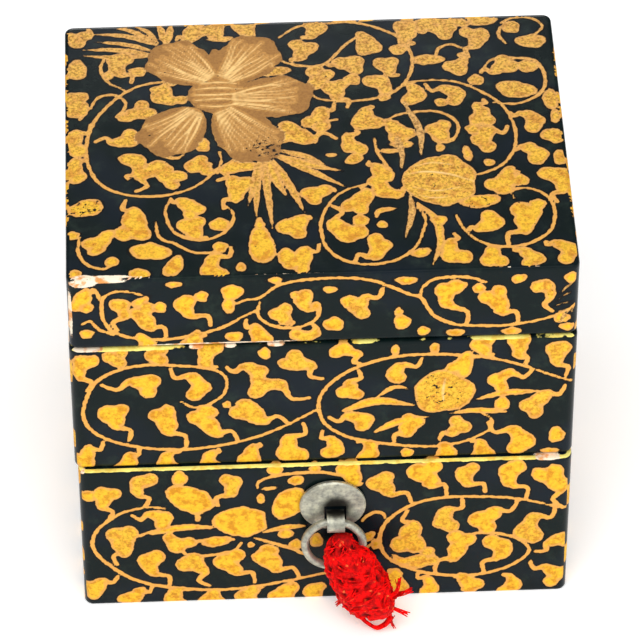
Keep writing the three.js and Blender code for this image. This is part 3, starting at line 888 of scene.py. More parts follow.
@dataclass
class LacquerTier:
    """One tier of the box, a wooden shell under black lacquer, with its painted scrollwork."""

    name: str
    node: str
    plan: Plan
    foot: float
    rim: float
    works: dict[Face, Scrollwork]
    patches: tuple[Patch, ...] = ()
    gilt_rim: float = 0.0
    # The outline that its lip seats and its tray's floor; how high it is hollow below.
    seated: Plan | None = None
    floor: float = 0.0
    hollow: float | None = None
    steps_x: int = 240
    steps_y: int = 186
    row: float = 0.4

    def stations(self) -> tuple[list[Station], list[Station], list[Station]]:
        """Lists the tier's levels.

        Returns:
            Those inside the foot, those up the painted outside, and those over the lip into the tray.
        """
        p, z0, z1, gilt = self.plan, self.foot, self.rim, self.gilt_rim
        rows = max(2, round((z1 - z0 - 2 * EDGE) / self.row))
        soft = EDGE * (1 - math.cos(math.pi / 4))
        below = [] if self.hollow is None else [Station(p, SKIRT_INSET, z) for z in (self.hollow, z0)]
        wall = [Station(p, 0, z) for z in np.linspace(z0 + EDGE, z1 - EDGE, rows + 1)]
        foot = [Station(p, EDGE, z0), Station(p, soft, z0 + soft)]
        top = [Station(p, soft, z1 - soft, 0.6 * gilt), Station(p, EDGE, z1, gilt)]
        if not self.seated:
            return below, [*foot, *wall, *top], []
        ledge = [Station(p, GILT_INSET, z1, gilt), Station(p, GILT_INSET + 0.1, z1)]
        lip = ((RIM_INSET, z1), (RIM_INSET, z1 + LIP), (INNER_INSET, z1 + LIP), (INNER_INSET, self.floor))
        return below, [*foot, *wall, *top, *ledge], [Station(self.seated, inset, z) for inset, z in lip]

    def loop(self) -> tuple[np.ndarray, np.ndarray, np.ndarray]:
        """Walks round the outline of the square from -1 to 1.

        Returns:
            The points across and up, and which of the four upright faces each belongs to.
        """
        x = np.linspace(-1, 1, self.steps_x, endpoint=False)
        y = np.linspace(-1, 1, self.steps_y, endpoint=False)
        one_x, one_y = np.ones_like(x), np.ones_like(y)
        xs = np.concatenate([x, one_y, -x, -one_y])
        ys = np.concatenate([-one_x, y, one_x, -y])
        side = np.concatenate([0 * x, 0 * y + 1, 0 * x + 2, 0 * y + 3]).astype(int)
        return xs, ys, side

    def sheets(self) -> dict[Face, PaintSheet]:
        """Paints every face.

        Returns:
            Each face's sheet.
        """
        made = {}
        for k, (face, work) in enumerate(self.works.items()):
            half = (self.plan.depth if face in (Face.LEFT, Face.RIGHT) else self.plan.width) / 2 + 0.6
            low, high = (self.foot - 0.5, self.rim + 0.5)
            if face is Face.TOP:
                low, high = (-self.plan.depth / 2 - 0.6, self.plan.depth / 2 + 1.2)
            sheet = PaintSheet((-half, low), (half, high), seed=11 + 7 * k + int(self.rim))
            sheet.paint(work)
            made[face] = sheet
        return made

    def attribute_values(
        self, face: Face, sheet: PaintSheet, u: np.ndarray, v: np.ndarray
    ) -> dict[Layer, np.ndarray]:
        """Works out each layer at a face's points.

        Args:
            face: the face.
            sheet: its paint.
            u: the points across the face.
            v: the points up the face.

        Returns:
            One row of numbers for each layer.
        """
        out = {layer: sheet.read(layer, u, v) for layer in sheet.layers}
        for layer in (Layer.GILT, Layer.RUB, Layer.CHIP):
            out[layer] = np.zeros_like(u)
        for patch in self.patches:
            if patch.face is face:
                away = np.hypot((u - patch.x) / patch.reach_x, (v - patch.y) / patch.reach_y)
                np.maximum(out[patch.layer], patch.strength * np.clip(1.5 - away, 0, 1), out=out[patch.layer])
        return out

    def wall_mesh(self, sheets: dict[Face, PaintSheet]) -> bpy.types.Mesh:
        """Rolls a flat grid into the tier's whole wall, inside and out.

        Args:
            sheets: the paint of the upright faces.

        Returns:
            The mesh with its paint layers, not yet closed.
        """
        xs, ys, side = self.loop()
        below, outside, above = self.stations()
        stations = below + outside + above
        around, levels = len(xs), len(stations)
        mesh, shares = grid_of(self.name, around, levels - 1)
        count = len(shares)
        i = np.rint(shares[:, 0] * around).astype(int) % around
        j = np.rint(shares[:, 1] * (levels - 1)).astype(int)
        place = np.empty((count, 3))
        for k, station in enumerate(stations):
            at = j == k
            x, y = station.plan.place(xs[i[at]], ys[i[at]], station.inset)
            place[at] = np.column_stack([x, y, np.full(x.shape, station.z)])
        values = {layer: np.zeros(count) for layer in Layer}
        values[Layer.GOLD][:] = values[Layer.VEIN][:] = -PaintSheet.FAR
        painted = (j >= len(below)) & (j < levels - len(above))
        centre = (self.plan.shift_x, self.plan.shift_y)
        across = {
            Face.FRONT: place[:, 0] - centre[0], Face.RIGHT: place[:, 1] - centre[1],
            Face.BACK: centre[0] - place[:, 0], Face.LEFT: centre[1] - place[:, 1],
        }
        for number, (face, u) in enumerate(across.items()):
            here = painted & (side[i] == number)
            found = self.attribute_values(face, sheets[face], u[here], place[here, 2])
            for layer, row in found.items():
                values[layer][here] = row
        gilt = np.array([s.gilt for s in stations])[j]
        values[Layer.GILT] = np.maximum(values[Layer.GILT], gilt)
        self.store(mesh, place, values)
        return mesh

    def top_mesh(self, sheet: PaintSheet) -> bpy.types.Mesh:
        """Makes the lid's painted top from a flat grid.

        Args:
            sheet: the top's paint.

        Returns:
            The mesh with its paint layers.
        """
        mesh, shares = grid_of(self.name + "_top", self.steps_x, self.steps_y)
        x, y = self.plan.place(2 * shares[:, 0] - 1, 2 * shares[:, 1] - 1, EDGE)
        values = self.attribute_values(Face.TOP, sheet, x - self.plan.shift_x, y)
        self.store(mesh, np.column_stack([x, y, np.full(x.shape, self.rim)]), values)
        return mesh

    @staticmethod
    def store(mesh: bpy.types.Mesh, place: np.ndarray, values: dict[Layer, np.ndarray]) -> None:
        """Writes places in mm and paint layers into a mesh.

        Args:
            mesh: the mesh.
            place: each vertex's place in mm.
            values: each layer's number at each vertex.
        """
        mesh.vertices.foreach_set("co", (place * MM).ravel())
        for layer in Layer:
            attribute = mesh.attributes.new(layer.value, "FLOAT", "POINT")
            attribute.data.foreach_set("value", values[layer].astype(np.float32))

    def build(self, finish: bpy.types.Material) -> bpy.types.Object:
        """Builds the tier, closes it, and puts it in place of its CAD node.

        Args:
            finish: the lacquer.

        Returns:
            The tier's object.
        """
        sheets = self.sheets()
        parts = [self.wall_mesh(sheets)]
        if Face.TOP in self.works:
            parts.append(self.top_mesh(sheets[Face.TOP]))
        bm = bmesh.new()
        for part in parts:
            bm.from_mesh(part)
            bpy.data.meshes.remove(part)
        close(bm, join=0.002 * MM)
        piece = finished_piece(mesh_of(bm, self.name), self.name, finish, smooth_angle=32)
        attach(piece, "box")
        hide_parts(self.node)
        LOG.info("%s: %d faces", self.name, len(piece.data.polygons))
        return piece


def finished_piece(
    mesh: bpy.types.Mesh, name: str, material: bpy.types.Material, smooth_angle: float
) -> bpy.types.Object:
    """Makes the object of a finished mesh, which stays at the origin, unturned and unscaled.

    Args:
        mesh: the mesh, in metres.
        name: the piece's name.
        material: its finish.
        smooth_angle: edges sharper than this many degrees stay crisp.

    Returns:
        The object.
    """
    mesh.materials.append(material)
    mesh.shade_smooth()
    mesh.set_sharp_from_angle(angle=math.radians(smooth_angle))
    return into_scene(name, mesh)


@dataclass(frozen=True)
class UrushiLacquer:
    """Black urushi lacquer over wood, rubbed smooth, with gold powder laid on it for the painting."""

    ground: str = "#081515"
    navy: str = "#0f1921"
    smudge: str = "#26342b"
    bright: str = "#fac42f"
    deep: str = "#db931f"
    pale: str = "#e6a656"
    shade: str = "#9a651b"
    faded: str = "#e2b067"
    faded_dark: str = "#8e6230"
    petal: str = "#c48f4a"
    petal_dark: str = "#80552a"
    vein: str = "#fad088"
    outline: str = "#0a0605"
    gilt: str = "#fff184"
    gilt_deep: str = "#f2c84e"
    chip: str = "#fbe9cf"
    chip_orange: str = "#e39a55"

    def build(self) -> bpy.types.Material:
        """Builds the lacquer with its paint, which reads the layers kept on each tier.

        Returns:
            The material.
        """
        material, tree = new_material("black_urushi_lacquer_with_gold")
        place = add_node(tree, "TexCoord").outputs["Object"]
        value = {x.value: add_node(tree, "Attribute", attribute_name=x.value).outputs["Fac"] for x in Layer}
        # The uneven marks: how many mm across, how fine their detail is and how rough.
        marks = (
            ("brush", 1.1, 2.0, 0.5), ("specks", 0.8, 4.0, 0.6), ("clouds", 14.0, 2.0, 0.5),
            ("smudges", 5.0, 5.0, 0.65), ("powder", 1.7, 4.0, 0.65), ("grains", 0.55, 4.0, 0.65),
            ("leafing", 2.6, 3.0, 0.6), ("losses", 1.6, 3.0, 0.5), ("splinters", 0.9, 4.0, 0.7),
            ("bare_wood", 2.4, 3.0, 0.6), ("streaks", 2.8, 3.0, 0.6),
        )
        for name, size, detail, rough in marks:
            inputs = {"Vector": place, "Scale": 1 / (size * MM), "Detail": detail, "Roughness": rough}
            value[name] = add_node(tree, "TexNoise", inputs).outputs["Fac"]
        # The brush's edge wobbles by about a tenth of a millimetre, and rubbed places lose paint in specks.
        sums = (
            ("wobble", "MULTIPLY_ADD", ("brush", 0.55, -0.275)), ("edge", "ADD", ("gold", "wobble")),
            ("rubbed", "MULTIPLY_ADD", ("rub", 0.35, "specks")), ("gilded", "ADD", ("gilt", "losses")),
            ("splintered", "ADD", ("splinters", 0.45)), ("chipping", "MULTIPLY", ("chip", "splintered")),
            ("smear", "MULTIPLY_ADD", ("smudges", 0.16, 0.14)),
        )
        # Where each effect starts and is full along its cause, and its strength at both ends.
        ranges = (
            ("within", "edge", -0.07, 0.07, 0, 1), ("whole", "rubbed", 0.7, 0.76, 1, 0),
            ("rim", "edge", 0.2, 0.62, 0.85, 0), ("navy", "clouds", 0.42, 0.66, 0, 1),
            ("smudge", "smudges", 0.5, 0.78, 0, 0.7), ("outline", "edge", -0.5, -0.1, 0, 0.8),
            ("thin", "powder", 0.45, 0.63, 0, 1), ("grain", "grains", 0.4, 0.66, 0, 1),
            ("age", "tone", 0, 0.4, 0.25, 0.75), ("fading", "tone", 0, 0.75, 0, 1),
            ("flower", "tone", 0.78, 0.9, 0, 1),
            ("groove", "vein", -0.75, -0.35, 0.5, 0), ("raised", "vein", -0.2, 0.12, 0, 1),
            ("uneven", "streaks", 0.32, 0.56, 0.4, 1), ("leaf_gilt", "gilded", 0.93, 1.03, 0, 1),
            ("leaf_thin", "leafing", 0.45, 0.65, 0, 0.8), ("chipped", "chipping", 0.46, 0.58, 0, 1),
            ("raw", "bare_wood", 0.46, 0.62, 0, 1),
        )
        products = (
            ("paint", "MULTIPLY", ("within", "whole")), ("worn", "MULTIPLY", ("grain", "age")),
            ("ribbed", "MULTIPLY", ("grain", 0.5)), ("veined", "MULTIPLY", ("raised", "uneven")),
            ("gold_all", "MAXIMUM", ("paint", "leaf_gilt")), ("matt", "MAXIMUM", ("gold_all", "chipped")),
            ("metal", "MULTIPLY", ("gold_all", 0.2)), ("height", "MULTIPLY", ("grain", "matt")),
        )
        for name, operation, terms in sums:
            inputs = {k: value.get(term, term) for k, term in enumerate(terms)}
            value[name] = add_node(tree, "Math", inputs, operation=operation).outputs[0]
        for name, cause, low, high, start, end in ranges:
            inputs = {"Value": value[cause], "From Min": low, "From Max": high}
            inputs |= {"To Min": start, "To Max": end}
            value[name] = add_node(tree, "MapRange", inputs, interpolation_type="SMOOTHSTEP").outputs[0]
        for name, operation, terms in products:
            inputs = {k: value.get(term, term) for k, term in enumerate(terms)}
            value[name] = add_node(tree, "Math", inputs, operation=operation).outputs[0]
        # Each finish from its ground up: near-black lacquer with navy and grey-green clouds, gold powder that
        # is paler at its edge where the brush left it thin and browner where its tone is raised, the flower's
        # ribbed petals, the rims' gilding and the chips' bare wood, whose cream also paints a highlight down
        # the lid's front-left corner. The last lays them over one another.
        coats = {
            "lacquer": (self.ground, ("navy", self.navy), ("smudge", self.smudge), ("outline", self.outline)),
            "faded_gold": (self.faded, ("grain", self.faded_dark)),
            "ribs": (self.petal, ("groove", self.petal_dark), ("ribbed", self.petal_dark),
                     ("veined", self.vein)),
            "gold_paint": (self.bright, ("thin", self.deep), ("worn", self.shade), ("rim", self.pale),
                           ("fading", "faded_gold"), ("veined", self.vein), ("flower", "ribs")),
            "gilding": (self.gilt, ("leaf_thin", self.gilt_deep)),
            "wood": (self.chip, ("raw", self.chip_orange)),
            "all": ("lacquer", ("paint", "gold_paint"), ("leaf_gilt", "gilding"), ("chipped", "wood")),
        }
        made: dict[str, bpy.types.NodeSocket] = {}
        for name, (first, *others) in coats.items():
            made[name] = made.get(first) or linear(first)
            for share, tint in others:
                inputs = {0: value[share], 6: made[name], 7: made.get(tint) or linear(tint)}
                made[name] = add_node(tree, "Mix", inputs, data_type="RGBA").outputs[2]
        rough = add_node(tree, "Mix", {0: value["matt"], 2: value["smear"], 3: 0.46}, data_type="FLOAT")
        bump = add_node(tree, "Bump", {"Height": value["height"], "Strength": 0.25, "Distance": 0.06 * MM})
        shader = add_node(tree, "BsdfPrincipled", {
            "Base Color": made["all"], "Roughness": rough.outputs[0], "Metallic": value["metal"], "IOR": 1.45,
            "Specular IOR Level": 0.14, "Normal": bump.outputs["Normal"],
        })
        add_node(tree, "OutputMaterial", {"Surface": shader.outputs[0]})
        return material


@dataclass(frozen=True)
class AgedPewter:
    """Cast pewter gone grey, with darker mottling where it isn't handled."""

    light: str = "#c9c8b3"
    dark: str = "#93938a"
    pit: str = "#6d6b61"
    # Near black: the painted shade round the eye's slot, with some tarnish.
    slot_shade_and_tarnish: str = "#17120e"
    slot_shade_and_tarnish_centre: tuple[float, float, float] = (2.3, -38.7, 26.6)
    # Marks to the metre: the mottling is about 1.1 mm across and the pitted places about 3.8 mm.
    mottling: float = 900.0
    pitting: float = 260.0

    def build(self) -> bpy.types.Material:
        """Builds the metal: soft gloss, mottled over about 1 mm, finely pitted.

        Returns:
            The material.
        """
        material, tree = new_material("aged_pewter")
        place = add_node(tree, "TexCoord").outputs["Object"]
        inputs = {"Vector": place, "Scale": self.mottling, "Detail": 5.0, "Roughness": 0.65}
        fine = add_node(tree, "TexNoise", inputs).outputs["Fac"]
        inputs = {"Vector": place, "Scale": self.pitting, "Detail": 3.0}
        broad = add_node(tree, "TexNoise", inputs).outputs["Fac"]
        # Painted shade, with some dirt and tarnish, darkens the plate and the eye round the eye's top and its
        # slot, where shadow falls and a polishing cloth doesn't reach.
        inputs = {0: place, 1: Vector(self.slot_shade_and_tarnish_centre) * MM}
        away = add_node(tree, "VectorMath", inputs, operation="DISTANCE").outputs["Value"]
        mottle = add_node(tree, "MapRange", {"Value": fine, "From Min": 0.36, "From Max": 0.64})
        pits = add_node(tree, "MapRange", {"Value": broad, "From Min": 0.5, "From Max": 0.8, "To Max": 0.65})
        slot_shade_and_tarnish_share = add_node(tree, "MapRange", {
            "Value": away, "From Min": 1.8 * MM, "From Max": 3.9 * MM, "To Min": 0.96, "To Max": 0.0,
        }, interpolation_type="SMOOTHSTEP")
        tint = linear(self.light)
        for share, over in ((mottle, self.dark), (pits, self.pit), (slot_shade_and_tarnish_share, self.slot_shade_and_tarnish)):
            inputs = {0: share.outputs[0], 6: tint, 7: linear(over)}
            tint = add_node(tree, "Mix", inputs, data_type="RGBA").outputs[2]
        rough = add_node(tree, "MapRange", {"Value": fine, "To Min": 0.36, "To Max": 0.58})
        bump = add_node(tree, "Bump", {"Height": fine, "Strength": 0.35, "Distance": 0.08 * MM})
        shader = add_node(tree, "BsdfPrincipled", {
            "Base Color": tint, "Roughness": rough.outputs[0], "Metallic": 0.75,
            "Normal": bump.outputs["Normal"],
        })
        add_node(tree, "OutputMaterial", {"Surface": shader.outputs[0]})
        return material


@dataclass(frozen=True)
class SilkThread:
    """Soft twisted silk thread dyed a strong red, matt with a little sheen."""

    bright: str = "#f90303"
    deep: str = "#b80202"
    # Painted shade in the net's open meshes and at the neck.
    hollow: str = "#5e0303"
    # A painted highlight on specks of the thread.
    painted_glint: str = "#ff7a3c"
    # Marks to the metre: strands are about 0.9 mm apart and the painted glints about 1.3 mm.
    strands: float = 1100.0
    painted_glints: float = 750.0

    def build(self) -> bpy.types.Material:
        """Builds the thread, whose dye varies from strand to strand.

        Returns:
            The material.
        """
        material, tree = new_material("red_silk_thread")
        place = add_node(tree, "TexCoord").outputs["Object"]
        inputs = {"Vector": place, "Scale": self.strands, "Detail": 3.0, "Roughness": 0.6}
        strand = add_node(tree, "TexNoise", inputs).outputs["Fac"]
        dyed = add_node(tree, "MapRange", {"Value": strand, "From Min": 0.42, "From Max": 0.6}).outputs[0]
        # Painted shade from the head's 'hollow' layer: darker in the net's open meshes and at the neck.
        shade = add_node(tree, "Attribute", attribute_name="hollow").outputs["Fac"]
        # Painted highlights: orange specks well under a millimetre, where single silk strands would catch the
        # light as they turn over.
        inputs = {"Vector": place, "Scale": self.painted_glints, "Detail": 2.0}
        painted_glint_noise = add_node(tree, "TexNoise", inputs).outputs["Fac"]
        inputs = {"Value": painted_glint_noise, "From Min": 0.65, "From Max": 0.74, "To Max": 0.8}
        painted_glint_share = add_node(tree, "MapRange", inputs).outputs[0]
        tint = linear(self.bright)
        for share, over in ((dyed, self.deep), (shade, self.hollow), (painted_glint_share, self.painted_glint)):
            tint = add_node(tree, "Mix", {0: share, 6: tint, 7: linear(over)}, data_type="RGBA").outputs[2]
        bump = add_node(tree, "Bump", {"Height": strand, "Strength": 0.4, "Distance": 0.1 * MM})
        shader = add_node(tree, "BsdfPrincipled", {
            "Base Color": tint, "Roughness": 0.7, "Specular IOR Level": 0.12,
            "Normal": bump.outputs["Normal"],
        })
        add_node(tree, "OutputMaterial", {"Surface": shader.outputs[0]})
        return material


@dataclass(frozen=True)
class StudioPaper:
    """A matt white paper floor."""

    tint: str = "#fbfbfa"

    def build(self) -> bpy.types.Material:
        """Builds the paper.

        Returns:
            The material.
        """
        material, tree = new_material("white_paper")
        shader = add_node(tree, "BsdfPrincipled", {
            "Base Color": linear(self.tint), "Roughness": 0.9, "Emission Color": linear(self.tint),
            "Emission Strength": 0.22,
        })
        add_node(tree, "OutputMaterial", {"Surface": shader.outputs[0]})
        return material


@dataclass
class RingPull:
    """The round back plate, the eye and the drop ring on the base's front."""

    pivot: tuple[float, float, float] = (2.1, -40.35, 24.3)
    ring_x: float = 1.7
    ring_radius: float = 5.65
    wire: float = 0.8
    lean: float = 5.0
    steps: int = 112
    wire_steps: int = 18
    # How the wire is a little out of round: waves round the ring, where they start, and their height.
    uneven: tuple[tuple[float, float, float], ...] = ((3, 1, 0.004), (7, 0, 0.003))

    def build(self, finish: bpy.types.Material, nodes: dict[str, bpy.types.Object]) -> None:
        """Finishes the plate and the eye, and makes a rounder ring in place of the CAD one.

        Args:
            finish: the metal.
            nodes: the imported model's parts by name.
        """
        for node in ("ring_back_plate", "ring_eye"):
            plain = nodes[node]
            plain.data.materials.clear()
            plain.data.materials.append(finish)
            LOG.info("%s: finished", node)
        bm = bmesh.new()
        bmesh.ops.create_circle(bm, segments=self.wire_steps, radius=self.wire)
        stand = Matrix.Translation((self.ring_radius, 0, 0)) @ Matrix.Rotation(math.radians(90), 4, "X")
        bmesh.ops.transform(bm, matrix=stand, verts=bm.verts)
        bmesh.ops.spin(bm, geom=bm.verts[:] + bm.edges[:], cent=(0, 0, 0), axis=(0, 0, 1), angle=math.tau,
                       steps=self.steps, use_merge=True)
        upright = Matrix.Rotation(math.radians(90), 4, "X")
        bmesh.ops.transform(bm, matrix=upright, verts=bm.verts)
        for v in bm.verts:
            turn = math.atan2(v.co.z, v.co.x)
            v.co *= 1 + sum(high * math.sin(waves * turn + start) for waves, start, high in self.uneven)
        lean = Matrix.Rotation(math.radians(-self.lean), 4, "X")
        hang = (Matrix.Scale(MM, 4) @ Matrix.Translation((self.ring_x, *self.pivot[1:])) @ lean
                @ Matrix.Translation((0, 0, -self.ring_radius)))
        bmesh.ops.transform(bm, matrix=hang, verts=bm.verts)
        bmesh.ops.recalc_face_normals(bm, faces=bm.faces)
        piece = finished_piece(mesh_of(bm, "drop_ring_wire"), "drop_ring_wire", finish, smooth_angle=60)
        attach(piece, "drop_ring")
        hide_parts("pull_ring")
        LOG.info("%s: %d faces", piece.name, len(piece.data.polygons))


@dataclass
class Tassel:
    """A fat netted tassel head that hangs through the ring, with a frayed skirt."""

    line: tuple = ((3.4, -41.3, 22.0), (3.3, -42.0, 18.7), (4.5, -42.7, 15.2), (6.0, -43.6, 11.9),
                   (8.3, -45.0, 8.5), (10.6, -46.2, 6.1), (12.5, -46.8, 4.1))
    shares: tuple[float, ...] = (0, 0.01, 0.04, 0.13, 0.22, 0.31, 0.42, 0.54, 0.68, 0.8, 0.9, 0.97, 1)
    radii: tuple[float, ...] = (0, 1.2, 1.9, 2.6, 3.9, 4.9, 5.3, 5.4, 5.1, 4.2, 3.0, 1.7, 0)
    neck: float = 0.2
    thinning: float = 0.84
    ground: float = 0.25
    around: int = 120
    along: int = 150
    hollow_gap: float = 2.9
    hollow_width: float = 0.75
    strands: int = 120
    seed: int = 5
    # The head's lumps: their height, how many go round it, and how they wind down it.
    lumps: tuple[tuple[float, float, float], ...] = ((0.05, 2, 9), (0.04, 5, -14))
    # The knots' height and how far the net puffs out, in mm; how dark the painted shade is in the
    # hollows and at the neck.
    knot: float = 0.16
    puff: float = 0.12
    hollow_painted_shade: float = 1.3
    neck_painted_shade: float = 0.7
    # The share of the way down at which loose threads come free.
    freed: float = 0.62

    def __post_init__(self) -> None:
        """Smooths the middle line, and measures its length."""
        self.middle = smooth_line(list(self.line), 0.5)
        self.length = sum((Vector(b) - Vector(a)).length for a, b in zip(self.line, self.line[1:]))

    def spine(self, t: float) -> tuple[Vector, Vector, Vector, Vector]:
        """Finds a place along the tassel's middle.

        Args:
            t: the share of the way down.

        Returns:
            The middle, the way down, the way to the right and the way to the front.
        """
        place = max(0.0, min(1.0, t)) * (len(self.middle) - 1)
        i = min(int(place), len(self.middle) - 2)
        centre = Vector(self.middle[i]).lerp(Vector(self.middle[i + 1]), place - i)
        down = Vector(self.middle[min(i + 3, len(self.middle) - 1)]) - Vector(self.middle[max(i - 3, 0)])
        down.normalize()
        right = down.cross(Vector((0, 1, 0))).normalized()
        return centre, down, right, right.cross(down).normalized()

    def radius(self, t: float) -> float:
        """The head's radius at a share of the way down."""
        return float(np.interp(t, self.shares, self.radii))

    def surface(self, t: float, turn: float, lift: float = 0.0) -> Vector:
        """Finds a point on the head.

        Args:
            t: the share of the way down.
            turn: the angle round it.
            lift: how far outside the surface, in mm.

        Returns:
            The point in mm, kept off the ground.
        """
        centre, _, right, front = self.spine(t)
        r = self.radius(t)
        r *= 1 + sum(high * math.sin(count * turn + wind * t) for high, count, wind in self.lumps)
        across = right * math.cos(turn) * (r + lift)
        ahead = front * math.sin(turn) * (r * self.thinning + lift)
        point = centre + across + ahead
        point.z = max(point.z, self.ground)
        return point

    def hollows(self) -> list[tuple[float, float, float]]:
        """Sets out the open meshes of the net, in staggered rows.

        Returns:
            The share of the way down, the angle and the depth in mm of each.
        """
        rng = random.Random(self.seed + 1)
        out = []
        for row in range(1, int(0.86 * self.length / self.hollow_gap) + 1):
            t = row * self.hollow_gap / self.length
            count = max(4, round(math.tau * self.radius(t) / self.hollow_gap))
            for k in range(count):
                turn = math.tau * (k + 0.5 * (row % 2) + rng.uniform(-0.18, 0.18)) / count
                out.append((t + rng.uniform(-0.015, 0.015), turn, rng.uniform(0.5, 1.05)))
        return out

    def head(self, finish: bpy.types.Material) -> None:
        """Makes the head's mass of netted thread, puffed out between the net's open meshes.

        Args:
            finish: the silk.
        """
        bm = bmesh.new()
        bmesh.ops.create_grid(bm, x_segments=self.around, y_segments=self.along, size=0.5)
        # The 'hollow' layer is painted shade: darker in the net's open meshes and towards the neck under the
        # ring.
        dark = bm.verts.layers.float.new("hollow")
        holes = np.array(self.hollows())
        for v in bm.verts:
            t, turn = v.co.y + 0.5, (v.co.x + 0.5) * math.tau
            swing = (turn - holes[:, 1] + math.pi) % math.tau - math.pi
            gaps = np.hypot((t - holes[:, 0]) * self.length, swing * max(self.radius(t), 0.5))
            deep = float(np.max(holes[:, 2] * np.exp(-((gaps / self.hollow_width) ** 2))))
            knots = self.knot * math.sin(23 * turn + 40 * t) * math.sin(60 * t - 9 * turn)
            v[dark] = min(1.0, deep * self.hollow_painted_shade + self.neck_painted_shade * max(0.0, 1 - t / self.neck))
            # Both ends are smooth, so that they close.
            v.co = self.surface(t, turn, (knots + self.puff - deep) * min(1, 12 * t, 12 * (1 - t))) * MM
        close(bm, join=0.01 * MM)
        self.add(mesh_of(bm, "tassel_head"), "tassel_head", finish)

    def threads(
        self, name: str, lines: list[list[Vector]], radii: list[float], finish: bpy.types.Material
    ) -> None:
        """Makes a bundle of threads, one thin tube for each line.

        Args:
            name: the piece's name.
            lines: each thread's points in mm.
            radii: each thread's radius in mm.
            finish: the silk.
        """
        curve = bpy.data.curves.new(name, "CURVE")
        curve.dimensions = "3D"
        curve.bevel_depth = MM
        curve.bevel_resolution = 1
        curve.use_fill_caps = True
        for points, radius in zip(lines, radii):
            spline = curve.splines.new("POLY")
            spline.points.add(len(points) - 1)
            for k, (knot, point) in enumerate(zip(spline.points, points)):
                knot.co = (*(Vector(point) * MM), 1)
                knot.radius = radius * (1 - 0.45 * (k / (len(points) - 1)) ** 3)
        strands = into_scene(name + "_curve", curve)
        mesh = bpy.data.meshes.new_from_object(strands.evaluated_get(bpy.context.evaluated_depsgraph_get()))
        bpy.data.objects.remove(strands)
        bpy.data.curves.remove(curve)
        mesh.name = name
        mesh.materials.clear()
        self.add(mesh, name, finish)

    def add(self, mesh: bpy.types.Mesh, name: str, finish: bpy.types.Material) -> None:
        """Puts one of the tassel's pieces on the ring.

        Args:
            mesh: its mesh.
            name: its name.
            finish: the silk.
        """
        piece = finished_piece(mesh, name, finish, smooth_angle=80)
        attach(piece, "drop_ring")
        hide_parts("tassel")
        LOG.info("%s: %d faces", name, len(mesh.polygons))

    def fuzz(self) -> tuple[list[list[Vector]], list[float]]:
        """Lays loose threads over the head, which follow it down and come free towards its end.

        Returns:
            The threads' lines and radii.
        """
        rng = random.Random(self.seed)
        lines, radii = [], []
        for _ in range(self.strands):
            t, turn = rng.uniform(0.02, 0.86), rng.uniform(0, math.tau)
            reach, drift = rng.uniform(0.05, 0.13), rng.uniform(-1.3, 1.3)
            low, free = max(0.0, t + reach - self.freed), rng.uniform(0.2, 1.6)
            thread = []
            for k in np.linspace(0, 1, 9):
                lift = 0.28 * math.sin(math.pi * k) + free * low * 2.2 * k * k - 0.05
                thread.append(self.surface(min(t + reach * k, 0.995), turn + drift * k, lift))
            lines.append(thread)
            radii.append(rng.uniform(0.14, 0.24))
        return lines, radii

    def wisps(self) -> tuple[list[list[Vector]], list[float]]:
        """Lays the wisps that stray from the tassel's end, a few threads to each.

        Returns:
            The threads' lines and radii.
        """
        rng = random.Random(self.seed + 2)
        paths = (
            (9, ((10.4, -45.2, 9.6), (12.6, -45.8, 8.8), (14.6, -46.2, 9.6), (16.6, -46.3, 10.9))),
            (8, ((10.8, -45.6, 9.6), (12.8, -46.4, 9.6), (13.9, -46.8, 11.4), (14.2, -46.6, 14.2))),
            (9, ((11.0, -46.0, 6.6), (13.6, -46.6, 5.6), (15.9, -46.8, 4.5))),
            (8, ((12.2, -47.0, 4.0), (12.7, -47.2, 2.6), (13.2, -47.4, 1.2))),
            (7, ((4.6, -43.8, 8.2), (3.5, -43.8, 6.3), (2.1, -43.6, 4.5))),
            (26, ((4.6, -43.6, 6.6), (5.4, -44.5, 4.2), (7.5, -46.3, 2.2), (8.9, -47.0, 1.4),
                  (10.2, -47.5, 1.1), (11.7, -47.5, 2.1), (12.6, -47.2, 3.7))),
        )
        lines, radii = [], []
        for count, path in paths:
            smooth = smooth_line(list(path), 0.5)
            for _ in range(count):
                shift = Vector([rng.gauss(0, 0.4) for _ in range(3)])
                fan = Vector([rng.gauss(0, 0.35) for _ in range(3)])
                spread = [Vector(p) + shift * (1 - k / len(smooth)) + fan * (k / len(smooth)) ** 2
                          for k, p in enumerate(smooth)]
                for point in spread:
                    point.z = max(point.z, self.ground)
                lines.append(spread)
                radii.append(rng.uniform(0.13, 0.2))
        return lines, radii

    def build(self, finish: bpy.types.Material) -> None:
        """Builds the whole tassel.

        Args:
            finish: the silk.
        """
        self.head(finish)
        self.threads("tassel_threads", *self.fuzz(), finish)
        self.threads("tassel_wisps", *self.wisps(), finish)


@dataclass(frozen=True)
class SoftLight:
    """A soft box of the studio, aimed at the object."""

    name: str
    azimuth: float
    elevation: float
    distance: float
    size: float
    watts: float
    tint: str = "#ffffff"


